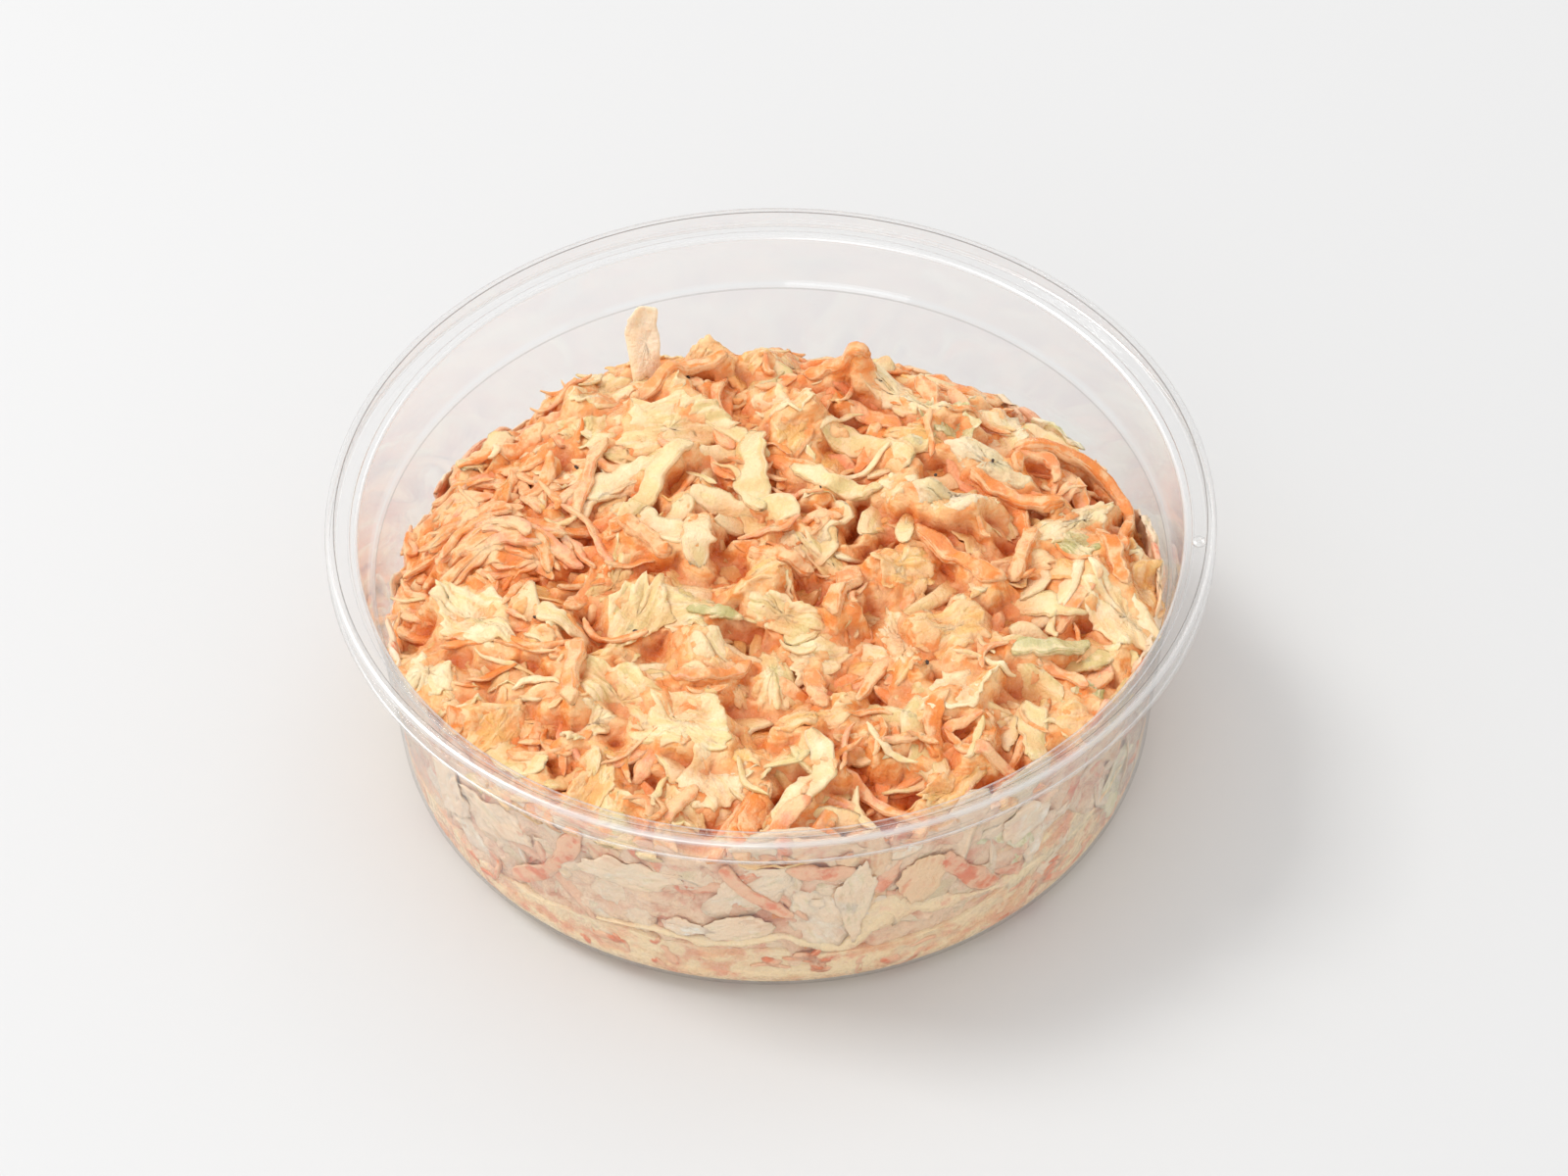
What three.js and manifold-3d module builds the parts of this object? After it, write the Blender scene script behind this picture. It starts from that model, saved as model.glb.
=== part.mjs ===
// Coleslaw in a clear round deli cup: the thin moulded cup, the dressing pooled at its
// bottom, and the mound of shredded carrot and cabbage that fills it.
// Millimetres, +Z up. The origin is the middle of the cup's base, on the surface it stands on,
// and -Y is the side where the salad stands highest against the wall.

import * as THREE from 'three';
import { mergeVertices } from 'three/addons/utils/BufferGeometryUtils.js';
import Module from 'manifold-3d';

// ---- The cup ----
const CUP_HEIGHT = 40.2;
const RIM_RADIUS = 59; // outer edge of the rim
const WALL = 0.5;
const BASE_RADIUS = 45.5; // the flat that the cup stands on
const FOOT_FILLET = 5.7;
const STEP_HEIGHT = 30.2; // where the wall steps out, so that cups stack
const STEP_RADIUS = 53.35; // outside of the wall just under that step
const STEP_OUT = 0.55;
const STEP_RISE = 0.7;
const SEAT_HEIGHT = 38.3; // top of the flat seat that a lid rests on
const SEAT_RADIUS = 55.1; // outside of the wall under the seat
const BEAD_INNER_RADIUS = 57.7;
const SKIRT_DROP = 3.7; // from the top of the rim to the skirt's lower edge
const CORNER = 0.4; // rounding of the seat's inner edge and the rim
const CUP_SIDES = 60;
const FILLET_STEPS = 4;
const NUB_RADIUS = 1;
const NUB_PLACE = new THREE.Vector3(56.4, -6, SEAT_HEIGHT);

// ---- Gaps between neighbours ----
const GAP = 0.3;
const POOL_GAP = 0.5; // measured straight up, because the pool's edge is steep

// ---- The pool of dressing ----
const POOL_LEVEL = 6.5; // in the middle, under the salad
const POOL_EDGE = 9.3; // where it shows against the wall
const POOL_RISE_START = 38; // radius where the level starts to climb to its edge
const TONGUE_ANGLE = THREE.MathUtils.degToRad(-44); // a smear of dressing up the wall
const TONGUE_RISE = 10;
const TONGUE_SPREAD = THREE.MathUtils.degToRad(8);
const POOL_SIDES = 40;
const POOL_RINGS = 6;

// ---- The mound ----
const MOUND_TOP = 34; // the flat middle of the mound
const EDGE_LEVEL = 25.5; // mean level where it meets the wall
const EDGE_FRONT = 7.5; // the front edge is this much higher, the back edge this much lower
const EDGE_RIGHT = 1.75; // the same, right and left
const SHOULDER = 5; // power of the fall from the middle to the edge
const SHOULDER_RADIUS = 53;
const LUMP_HEIGHT = 0.55;
const LUMP_LENGTH = 17;
const CORE_SIDES = 36;
const CORE_RINGS = 9;
const CORE_SIDE_ROWS = 2;
const CORE_FLOOR = 2;
const SIDE_RELIEF = 0.9; // how far the shreds against the wall stand out of the core
const FOOD_CEILING = 39.8; // nothing reaches above the rim

// ---- Shreds and leaves ----
const CARROT = { width: [2.2, 3.2], thickness: 1.5, length: [10, 19], curl: 1.1, bow: 1.6 };
const CABBAGE = { width: [6.5, 10], thickness: 1.1, length: [10, 16], wave: 1.2, ragged: 1.2 };
const CARROT_COUNT = 42;
const CABBAGE_COUNT = 28;
const SIDE_COUNT = 26;
const LEAF_LIFT = 0.9; // how far the middle of a piece lies above the mound
const SHRED_LIFT = 1.1;
const SPREAD_RADIUS = 49.5;
const MAIN_PIECE_ROOM = 6; // how far the others stay from the pieces that stand out
const GOLDEN_ANGLE = Math.PI * (3 - Math.sqrt(5));
const SEED = 20317;

// The pieces that stand out most: a kind, where its middle lies, how far it is turned and
// tilted in degrees, and its length and width.
const MAIN_PIECES = [
  { kind: 'leaf', x: -15.5, y: 40, turn: 84, tilt: -72, length: 12, width: 5, lift: 4 },
  { kind: 'leaf', x: 19, y: 39, turn: -66, tilt: -24, length: 16, width: 6, lift: 1.6 },
  { kind: 'leaf', x: -39, y: -8, turn: -38, tilt: 6, length: 16, width: 11, lift: 0.8 },
  { kind: 'leaf', x: -15.5, y: -30, turn: -34, tilt: 8, length: 20, width: 11, lift: 0.8 },
  { kind: 'leaf', x: 46, y: -10, turn: -62, tilt: 14, length: 15, width: 9, lift: 0.8 },
  { kind: 'leaf', x: -12, y: 23, turn: 12, tilt: 10, length: 19, width: 10, lift: 0.8 },
  { kind: 'leaf', x: 29, y: 15, turn: -24, tilt: 10, length: 11, width: 6, lift: 1.2 },
  { kind: 'leaf', x: 24, y: 5, turn: 5, tilt: 16, length: 9.5, width: 5.5, lift: 1.2 },
  { kind: 'leaf', x: 36.5, y: -19, turn: 12, tilt: 6, length: 11.5, width: 4, lift: 1.2 },
  { kind: 'shred', x: -12, y: 34, turn: 28, tilt: 4, length: 17, width: 2.8, lift: 1.2 },
  { kind: 'shred', x: -15.5, y: 11.5, turn: 56, tilt: 8, length: 18, width: 3, lift: 1.2 },
  { kind: 'shred', x: 9, y: 11, turn: -26, tilt: 5, length: 13, width: 3.2, lift: 1.1 },
  { kind: 'shred', x: -26, y: -23, turn: -94, tilt: 6, length: 14, width: 3.2, lift: 1 },
  { kind: 'shred', x: 41.5, y: 19.5, turn: 24, tilt: 14, length: 11, width: 2.6, lift: 1.6 },
  { kind: 'shred', x: 44.5, y: 13, turn: -104, tilt: 10, length: 12, width: 2.6, lift: 1.4 },
];

const wasm = await Module();
wasm.setup();

// ---- Small helpers ----

function randomSource(seed) {
  let state = seed;
  return () => {
    state = (state + 0x6d2b79f5) | 0;
    let t = Math.imul(state ^ (state >>> 15), 1 | state);
    t = (t + Math.imul(t ^ (t >>> 7), 61 | t)) ^ t;
    return ((t ^ (t >>> 14)) >>> 0) / 4294967296;
  };
}

const random = randomSource(SEED);
const between = (low, high) => low + (high - low) * random();
const { lerp, smoothstep, degToRad } = THREE.MathUtils;

// A closed solid from a geometry, once its shared vertices are merged.
function solid(geometry) {
  const bare = geometry.clone();
  bare.deleteAttribute('normal');
  bare.deleteAttribute('uv');
  const merged = mergeVertices(bare, 1e-4);
  const corners = merged.index.array;
  const kept = [];
  for (let i = 0; i < corners.length; i += 3) {
    const [a, b, c] = [corners[i], corners[i + 1], corners[i + 2]];
    if (a !== b && b !== c && c !== a) kept.push(a, b, c);
  }
  return new wasm.Manifold(
    new wasm.Mesh({
      numProp: 3,
      vertProperties: new Float32Array(merged.attributes.position.array),
      triVerts: new Uint32Array(kept),
    }),
  );
}

function geometryOf(body) {
  const mesh = body.getMesh();
  const geometry = new THREE.BufferGeometry();
  geometry.setAttribute('position', new THREE.BufferAttribute(mesh.vertProperties, 3));
  geometry.setIndex(new THREE.BufferAttribute(mesh.triVerts, 1));
  geometry.computeVertexNormals();
  return geometry;
}

function meshGeometry(positions, index) {
  const geometry = new THREE.BufferGeometry();
  geometry.setAttribute('position', new THREE.Float32BufferAttribute(positions, 3));
  geometry.setIndex(index);
  return geometry;
}

// A closed body round the axis. outlineAt(angle) gives [radius, height] pairs, from the axis
// at the bottom, out, up and back to the axis at the top, so the outline may change as it turns.
// A downward outline runs the other way, from the top to the bottom.
function turnedBody(outlineAt, sides, downward = false) {
  const positions = [];
  const index = [];
  let count = 0;
  for (let side = 0; side < sides; side += 1) {
    const angle = (side / sides) * 2 * Math.PI;
    const outline = outlineAt(angle);
    count = outline.length;
    for (const [radius, height] of outline) {
      positions.push(radius * Math.cos(angle), radius * Math.sin(angle), height);
    }
  }
  for (let side = 0; side < sides; side += 1) {
    const here = side * count;
    const next = ((side + 1) % sides) * count;
    for (let step = 0; step < count - 1; step += 1) {
      index.push(here + step, next + step, next + step + 1);
      index.push(here + step, next + step + 1, here + step + 1);
    }
  }
  return meshGeometry(positions, downward ? index.reverse() : index);
}

// A thin closed sheet round the grid of points pointAt(u, v), u and v from -0.5 to 0.5.
// Both faces are split along the same diagonals, so a wavy sheet never cuts itself.
function sheetGeometry(columns, rows, pointAt, thickness) {
  const positions = [];
  const index = [];
  const point = (i, j) => pointAt(i / columns - 0.5, j / rows - 0.5);
  for (const face of [0.5, -0.5]) {
    for (let i = 0; i <= columns; i += 1) {
      for (let j = 0; j <= rows; j += 1) {
        const along = point(Math.min(i + 1, columns), j).sub(point(Math.max(i - 1, 0), j));
        const across = point(i, Math.min(j + 1, rows)).sub(point(i, Math.max(j - 1, 0)));
        const normal = along.cross(across).normalize();
        const corner = point(i, j).addScaledVector(normal, face * thickness);
        positions.push(corner.x, corner.y, corner.z);
      }
    }
  }
  const lower = (columns + 1) * (rows + 1);
  const at = (i, j) => i * (rows + 1) + j;
  const quad = (a, b, c, d) => index.push(a, b, c, a, c, d);
  for (let i = 0; i < columns; i += 1) {
    for (let j = 0; j < rows; j += 1) {
      const ring = [at(i, j), at(i + 1, j), at(i + 1, j + 1), at(i, j + 1)];
      const [a, b, c, d] = ring;
      quad(a, b, c, d);
      index.push(a + lower, c + lower, b + lower, a + lower, d + lower, c + lower);
    }
  }
  for (let i = 0; i < columns; i += 1) {
    quad(at(i, 0) + lower, at(i + 1, 0) + lower, at(i + 1, 0), at(i, 0));
    quad(at(i, rows), at(i + 1, rows), at(i + 1, rows) + lower, at(i, rows) + lower);
  }
  for (let j = 0; j < rows; j += 1) {
    quad(at(0, j), at(0, j + 1), at(0, j + 1) + lower, at(0, j) + lower);
    quad(at(columns, j) + lower, at(columns, j + 1) + lower, at(columns, j + 1), at(columns, j));
  }
  return meshGeometry(positions, index);
}

// ---- The cup ----

function fillet(radius) {
  const points = [];
  for (let step = 1; step < FILLET_STEPS; step += 1) {
    const angle = (step / FILLET_STEPS) * (Math.PI / 2);
    points.push([BASE_RADIUS + radius * Math.sin(angle), FOOT_FILLET - radius * Math.cos(angle)]);
  }
  points.push([BASE_RADIUS + radius, FOOT_FILLET]);
  return points;
}

function cupOutline() {
  const seatUnder = SEAT_HEIGHT - WALL;
  const skirtInner = RIM_RADIUS - WALL;
  const skirtEdge = CUP_HEIGHT - SKIRT_DROP;
  const outside = [
    [0, 0],
    [BASE_RADIUS, 0],
    ...fillet(FOOT_FILLET),
    [STEP_RADIUS, STEP_HEIGHT],
    [STEP_RADIUS + STEP_OUT, STEP_HEIGHT + STEP_RISE],
    [SEAT_RADIUS, seatUnder],
    [skirtInner, seatUnder],
    [skirtInner, skirtEdge],
  ];
  const rim = [
    [RIM_RADIUS, skirtEdge],
    [RIM_RADIUS, CUP_HEIGHT - CORNER],
    [RIM_RADIUS - CORNER, CUP_HEIGHT],
    [BEAD_INNER_RADIUS + CORNER, CUP_HEIGHT],
    [BEAD_INNER_RADIUS, CUP_HEIGHT - CORNER],
    [BEAD_INNER_RADIUS, SEAT_HEIGHT],
  ];
  const inside = [
    [SEAT_RADIUS - WALL + CORNER, SEAT_HEIGHT],
    [SEAT_RADIUS - WALL, SEAT_HEIGHT - CORNER],
    [STEP_RADIUS + STEP_OUT - WALL, STEP_HEIGHT + STEP_RISE],
    [STEP_RADIUS - WALL, STEP_HEIGHT],
    ...fillet(FOOT_FILLET - WALL).reverse(),
    [BASE_RADIUS, WALL],
    [0, WALL],
  ];
  return [...outside, ...rim, ...inside];
}

function cupSolid() {
  const outline = cupOutline().map(([radius, height]) => new THREE.Vector2(radius, height));
  const wall = new THREE.LatheGeometry(outline, CUP_SIDES);
  wall.rotateX(Math.PI / 2);
  const nub = new THREE.SphereGeometry(NUB_RADIUS, 10, 6);
  nub.translate(NUB_PLACE.x, NUB_PLACE.y, NUB_PLACE.z);
  return solid(wall).add(solid(nub));
}

// Inner radius of the cup at a height.
function innerRadius(height) {
  if (height < FOOT_FILLET) {
    const radius = FOOT_FILLET - WALL;
    const drop = Math.min(FOOT_FILLET - height, radius);
    return BASE_RADIUS + Math.sqrt(radius * radius - drop * drop);
  }
  const foot = BASE_RADIUS + FOOT_FILLET - WALL;
  if (height < STEP_HEIGHT) {
    const rise = (height - FOOT_FILLET) / (STEP_HEIGHT - FOOT_FILLET);
    return lerp(foot, STEP_RADIUS - WALL, rise);
  }
  return STEP_RADIUS - WALL;
}

// ---- The dressing ----

function poolHeight(radius, angle) {
  const ripple = 0.9 * Math.sin(3 * angle + 0.6) + 0.6 * Math.sin(7 * angle + 2.1);
  const turn = Math.atan2(Math.sin(angle - TONGUE_ANGLE), Math.cos(angle - TONGUE_ANGLE));
  const tongue = TONGUE_RISE * Math.exp(-((turn / TONGUE_SPREAD) ** 2));
  const climb = smoothstep(radius, POOL_RISE_START, innerRadius(POOL_EDGE) - GAP);
  return POOL_LEVEL + (POOL_EDGE + ripple + tongue - POOL_LEVEL) * climb;
}

// The pool's surface from its edge to the axis, lifted by a height.
function poolSurface(angle, lift) {
  const edge = innerRadius(POOL_EDGE) - GAP;
  const points = [];
  for (let ring = POOL_RINGS; ring >= 0; ring -= 1) {
    const radius = edge * Math.sqrt(ring / POOL_RINGS);
    points.push([radius, poolHeight(radius, angle) + lift]);
  }
  return points;
}

function dressingOutline(angle) {
  const bottom = WALL + GAP;
  const side = [bottom, 1.6, 3.2, FOOT_FILLET].map((z) => [innerRadius(z) - GAP, z]);
  const surface = poolSurface(angle, 0);
  return [[0, bottom], ...side, ...surface];
}

// ---- The mound ----

// Six crossing waves, each shorter than the last, make the mound uneven.
function lumps(x, y) {
  let height = 0;
  for (let wave = 0; wave < 6; wave += 1) {
    const direction = wave * GOLDEN_ANGLE;
    const length = LUMP_LENGTH - 1.9 * wave;
    const along = x * Math.cos(direction) + y * Math.sin(direction);
    height += Math.sin((2 * Math.PI * along) / length + 1.7 * wave);
  }
  return LUMP_HEIGHT * height;
}

function edgeLevel(angle) {
  return EDGE_LEVEL - EDGE_FRONT * Math.sin(angle) + EDGE_RIGHT * Math.cos(angle);
}

function moundHeight(x, y) {
  const fall = Math.min(Math.hypot(x, y) / SHOULDER_RADIUS, 1) ** SHOULDER;
  const calm = 1 - fall;
  return lerp(MOUND_TOP, edgeLevel(Math.atan2(y, x)), fall) + lumps(x, y) * calm;
}

function moundNormal(x, y) {
  const step = 2;
  const slopeX = (moundHeight(x + step, y) - moundHeight(x - step, y)) / (2 * step);
  const slopeY = (moundHeight(x, y + step) - moundHeight(x, y - step)) / (2 * step);
  return new THREE.Vector3(-slopeX, -slopeY, 1).normalize();
}

function coreOutline(angle) {
  const top = edgeLevel(angle);
  const side = [];
  for (let row = 0; row <= CORE_SIDE_ROWS; row += 1) {
    const height = lerp(CORE_FLOOR, top, row / CORE_SIDE_ROWS);
    side.push([innerRadius(height) - GAP - SIDE_RELIEF, height]);
  }
  const edge = side[CORE_SIDE_ROWS][0];
  const surface = [];
  for (let ring = CORE_RINGS - 1; ring >= 0; ring -= 1) {
    const radius = edge * Math.sqrt(ring / CORE_RINGS);
    const [x, y] = [radius * Math.cos(angle), radius * Math.sin(angle)];
    surface.push([radius, moundHeight(x, y)]);
  }
  return [[0, CORE_FLOOR], ...side, ...surface];
}

// The room that the salad may take: above the pool, inside the wall, under the rim. Its floor
// is split into the same triangles as the pool's surface, so that the gap is the same all over.
function foodRoom() {
  const heights = [FOOD_CEILING, STEP_HEIGHT, 25, 22];
  const roomOutline = (angle) => {
    const side = heights.map((z) => [innerRadius(z) - GAP, z]);
    return [[0, FOOD_CEILING], ...side, ...poolSurface(angle, POOL_GAP)];
  };
  return solid(turnedBody(roomOutline, POOL_SIDES, true));
}

// A grated carrot shred: a strip of nearly square section, curved and bowed.
function shredGeometry({ length, width, thickness, curl, bow }) {
  const turn = Math.abs(curl) < 0.05 ? 0.05 : curl;
  const radius = length / turn;
  const pointAt = (u, v) => {
    const angle = u * turn;
    const taper = 1 - 0.45 * (2 * u) ** 4;
    const reach = radius - width * v * taper;
    return new THREE.Vector3(
      reach * Math.sin(angle),
      radius - reach * Math.cos(angle),
      -bow * (2 * u) ** 2,
    );
  };
  return sheetGeometry(4, 1, pointAt, thickness);
}

// A torn piece of cabbage leaf: thin, wavy and with an uneven edge.
function leafGeometry({ length, width, thickness, wave, ragged }) {
  const columns = 3;
  const rows = 2;
  const phase = between(0, 2 * Math.PI);
  const tears = [];
  for (let i = 0; i < (columns + 1) * (rows + 1); i += 1) {
    tears.push([between(-ragged, ragged), between(-ragged, ragged)]);
  }
  const pointAt = (u, v) => {
    const corner = Math.round((u + 0.5) * columns) * (rows + 1) + Math.round((v + 0.5) * rows);
    const [tearX, tearY] = tears[corner];
    return new THREE.Vector3(
      length * u * (1 - 0.35 * (2 * v) ** 2) + tearX,
      width * v * (1 - 0.3 * (2 * u) ** 2) + tearY,
      wave * Math.sin(5 * u + phase) - 0.6 * wave * (2 * v) ** 2,
    );
  };
  return sheetGeometry(columns, rows, pointAt, thickness);
}

// Lays a piece on the mound: turned about the mound's own slope, tilted end to end and
// side to side, and lifted off the surface.
function layOnMound(geometry, { x, y, turn, tilt, roll = 0, lift }) {
  const up = moundNormal(x, y);
  const slope = new THREE.Quaternion().setFromUnitVectors(new THREE.Vector3(0, 0, 1), up);
  const euler = new THREE.Euler(degToRad(roll), degToRad(tilt), degToRad(turn), 'ZYX');
  const place = new THREE.Vector3(x, y, moundHeight(x, y)).addScaledVector(up, lift);
  const pose = slope.multiply(new THREE.Quaternion().setFromEuler(euler));
  geometry.applyMatrix4(new THREE.Matrix4().compose(place, pose, new THREE.Vector3(1, 1, 1)));
  return solid(geometry);
}

function mainPieces() {
  return MAIN_PIECES.map((piece) => {
    const { thickness: carrotThickness, bow } = CARROT;
    const { thickness: leafThickness, wave, ragged } = CABBAGE;
    const geometry =
      piece.kind === 'leaf'
        ? leafGeometry({ ...piece, thickness: leafThickness, wave, ragged })
        : shredGeometry({ ...piece, thickness: carrotThickness, curl: 0.35, bow: bow / 3 });
    return layOnMound(geometry, piece);
  });
}

// Places spread evenly over the mound: a sunflower spiral, each moved a little.
function spreadPlace(number, count, start) {
  const radius = SPREAD_RADIUS * Math.sqrt((number + 0.5) / count);
  const angle = start + number * GOLDEN_ANGLE;
  return {
    x: radius * Math.cos(angle) + between(-1.2, 1.2),
    y: radius * Math.sin(angle) + between(-1.2, 1.2),
  };
}

function isClear({ x, y }) {
  return MAIN_PIECES.every((piece) => Math.hypot(piece.x - x, piece.y - y) > MAIN_PIECE_ROOM);
}

function scatteredLeaves() {
  const bodies = [];
  for (let number = 0; number < CABBAGE_COUNT; number += 1) {
    const place = spreadPlace(number, CABBAGE_COUNT, 0);
    const geometry = leafGeometry({
      ...CABBAGE,
      length: between(...CABBAGE.length),
      width: between(...CABBAGE.width),
    });
    const pose = {
      ...place,
      turn: between(0, 360),
      tilt: between(-16, 16),
      roll: between(-14, 14),
      lift: LEAF_LIFT,
    };
    if (isClear(place)) bodies.push(layOnMound(geometry, pose));
  }
  return bodies;
}

function scatteredShreds() {
  const bodies = [];
  for (let number = 0; number < CARROT_COUNT; number += 1) {
    const place = spreadPlace(number, CARROT_COUNT, 1.3);
    const geometry = shredGeometry({
      thickness: CARROT.thickness,
      length: between(...CARROT.length),
      width: between(...CARROT.width),
      curl: between(-CARROT.curl, CARROT.curl),
      bow: between(0.3, CARROT.bow),
    });
    const pose = {
      ...place,
      turn: between(0, 360),
      tilt: between(-14, 14),
      roll: between(-30, 30),
      lift: SHRED_LIFT,
    };
    if (isClear(place)) bodies.push(layOnMound(geometry, pose));
  }
  return bodies;
}

// Shreds pressed flat against the wall, bent to its curve.
function sideShreds() {
  const bodies = [];
  for (let number = 0; number < SIDE_COUNT; number += 1) {
    const angle = ((number + between(-0.2, 0.2)) / SIDE_COUNT) * 2 * Math.PI;
    const low = poolHeight(innerRadius(POOL_EDGE), angle) + 2.5;
    const high = edgeLevel(angle) - 2;
    const middle = lerp(low, high, (number * 0.618) % 1);
    const lean = between(-1.3, 1.3);
    const length = Math.min(between(8, 15), (high - low) / Math.max(Math.abs(Math.sin(lean)), 0.3));
    const width = between(2.2, 4.4);
    const pointAt = (u, v) => {
      const along = length * u;
      const across = -width * v * (1 - 0.4 * (2 * u) ** 4);
      const height = middle + along * Math.sin(lean) + across * Math.cos(lean);
      const radius = innerRadius(height) - 1.3 * GAP - SIDE_RELIEF;
      const turn = angle + (along * Math.cos(lean) - across * Math.sin(lean)) / radius;
      return new THREE.Vector3(radius * Math.cos(turn), radius * Math.sin(turn), height);
    };
    bodies.push(solid(sheetGeometry(3, 1, pointAt, 2 * SIDE_RELIEF)));
  }
  return bodies;
}

function coleslawSolid() {
  const core = solid(turnedBody(coreOutline, CORE_SIDES));
  const pieces = [...mainPieces(), ...scatteredLeaves(), ...scatteredShreds(), ...sideShreds()];
  const fused = wasm.Manifold.union([core, ...pieces]).intersect(foodRoom());
  const bodies = fused.decompose();
  return bodies.reduce((largest, body) => (body.volume() > largest.volume() ? body : largest));
}

// ---- The whole ----

function part(name, body, material) {
  const mesh = new THREE.Mesh(geometryOf(body), material);
  mesh.name = name;
  return mesh;
}

const clearPlastic = new THREE.MeshStandardMaterial({
  color: 0xf4f5f4,
  roughness: 0.08,
  metalness: 0,
  transparent: true,
  opacity: 0.25,
});
const creamyDressing = new THREE.MeshStandardMaterial({
  color: 0xeed9b4,
  roughness: 0.35,
  metalness: 0,
});
const dressedSalad = new THREE.MeshStandardMaterial({
  color: 0xf0b884,
  roughness: 0.4,
  metalness: 0,
});

const group = new THREE.Group();
group.add(
  part('cup', cupSolid(), clearPlastic),
  part('dressing', solid(turnedBody(dressingOutline, POOL_SIDES)), creamyDressing),
  part('coleslaw', coleslawSolid(), dressedSalad),
);

export default group;
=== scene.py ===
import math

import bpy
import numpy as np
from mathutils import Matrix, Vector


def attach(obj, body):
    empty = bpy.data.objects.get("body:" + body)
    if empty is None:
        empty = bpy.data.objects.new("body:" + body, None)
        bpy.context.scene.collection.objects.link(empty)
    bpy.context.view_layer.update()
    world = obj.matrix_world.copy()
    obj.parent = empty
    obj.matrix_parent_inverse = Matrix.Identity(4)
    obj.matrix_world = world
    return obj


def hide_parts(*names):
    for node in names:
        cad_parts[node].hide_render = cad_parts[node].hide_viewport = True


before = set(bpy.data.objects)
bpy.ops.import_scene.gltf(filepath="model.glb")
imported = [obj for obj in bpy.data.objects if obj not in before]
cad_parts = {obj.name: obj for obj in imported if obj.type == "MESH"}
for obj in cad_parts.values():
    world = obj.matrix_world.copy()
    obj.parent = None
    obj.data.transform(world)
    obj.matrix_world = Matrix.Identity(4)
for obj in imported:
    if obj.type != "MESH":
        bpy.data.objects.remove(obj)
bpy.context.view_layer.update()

# Coleslaw in a clear round cup: the looks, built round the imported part.
#
# Sizes are in millimetres until a mesh is made, +Z is up, the cup stands on z = 0 and the
# camera looks along +Y from above. The salad is laid piece by piece: each shred, leaf and
# scrap drapes over those already there, and a core of dressed scraps fills the shallow gaps.

MM = 0.001
rng = np.random.default_rng(20317)

# ---------------------------------------------------------------- the cup's sizes
CUP_HEIGHT = 40.2
RIM_RADIUS = 59.0
WALL = 0.5
BASE_RADIUS = 45.5
FOOT_FILLET = 5.7
STEP_HEIGHT = 30.2
STEP_RADIUS = 53.35
STEP_OUT = 0.55
STEP_RISE = 0.7
SEAT_HEIGHT = 38.3
SEAT_RADIUS = 55.1
SEAT_RIDGE_RADIUS = 55.9
SEAT_RIDGE = 0.12
SEAT_RIDGE_HALF = 0.3
BEAD_INNER_RADIUS = 57.7
SKIRT_DROP = 3.7
CORNER_ROUND = 0.22
CORNER_STEPS = 3
FOOT_STEPS = 10
CUP_SIDES = 192
NUB_PLACE = (56.4, -6.0, 38.3)
NUB_RADIUS = 1.0
NUB_SIDES = 20
# how strong the painted gleam on the nub's bends is
NUB_PAINTED_GLEAM = 0.5
NUB_PROFILE = [(0, -0.3), (0.5, -0.3), (0.85, 0.0), (0.8, 0.25), (0.5, 0.42), (0, 0.45)]
WET_OVERLAP = 0.2  # how far wet food may reach into the wall, so that no air shows between

# ---------------------------------------------------------------- the heap's sizes
MOUND_TOP = 34.0
EDGE_LEVEL = 25.5  # where the salad meets the wall, halfway round
EDGE_FRONT = 7.5  # how much higher it meets the wall in front, and lower behind
EDGE_RIGHT = 1.75
SHOULDER = 5  # the larger, the flatter the middle and the steeper the edge
SHOULDER_RADIUS = 53.0
LUMP_HEIGHT = 0.55
LUMP_LENGTH = 17.0
GOLDEN_ANGLE = math.pi * (3 - math.sqrt(5))
SLUMP_BACK = 3.6  # how much lower the laid salad lies near the wall, at the right and behind
SLUMP_LEFT = 2.2
SLUMP_RADII = (37, 50)  # it starts and is full at these radii
LAID_RADIUS = 50.8  # middles of pieces lie within this radius
FOOD_CEILING = 39.7
CEILING_SOFTNESS = 0.5
CORE_BELOW = 3.4  # the laying starts this far under the heap's surface
CORE_BOTTOM = 3.0
CORE_UNDER_MEAN = 0.5  # the core's top lies this far under the laid pieces' smoothed surface
CORE_UNDER_PIECES = 0.1  # and at least this far under the pieces themselves
CORE_RECESS = 0.35  # the core's side stands back from the wall by this much
CORE_POCKETS = 0.5  # and in its pockets by this much more
CORE_MESH = (480, 128, 32)  # sides, rings of the top, rows of the side
CORE_EDGE_RADII = (49.5, 52)  # between these its top comes down to the level at the wall
CORE_SIDE_SHADE = 0.85
CELL = 0.5  # spacing of the height field
REACH = 55.0  # half the width of the height field
UNDER_PIECES = 330  # laid first, mostly hidden
TOP_PIECES = 250  # laid last, finer
HEAP_SCRAPS = 70
SLIVERS = 110
PLACES_TRIED = 4
FULL_SHADE_DEPTH = 3.0  # at this depth a crevice has its full painted shade
SHADE_FADE_AT_WALL = (0.5, 2.5)  # from the wall to this far in, the painted shade in crevices grows from none to full
GRAIN_SHIFT = 7.31  # moves the pattern on from piece to piece
PRESS_IN = 0.4  # how far a stiff piece presses into what it bridges
CAP_DROP = 0.35  # how round a laid piece makes the heap
SHRED_STIFFNESS = 2.0  # a shred bends over about this length
SHRED_TWIST = 0.5
LEAF_REACH = 0.9  # each point of a leaf raises the heap this far round it
RIB_SPACING = 2.3

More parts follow.
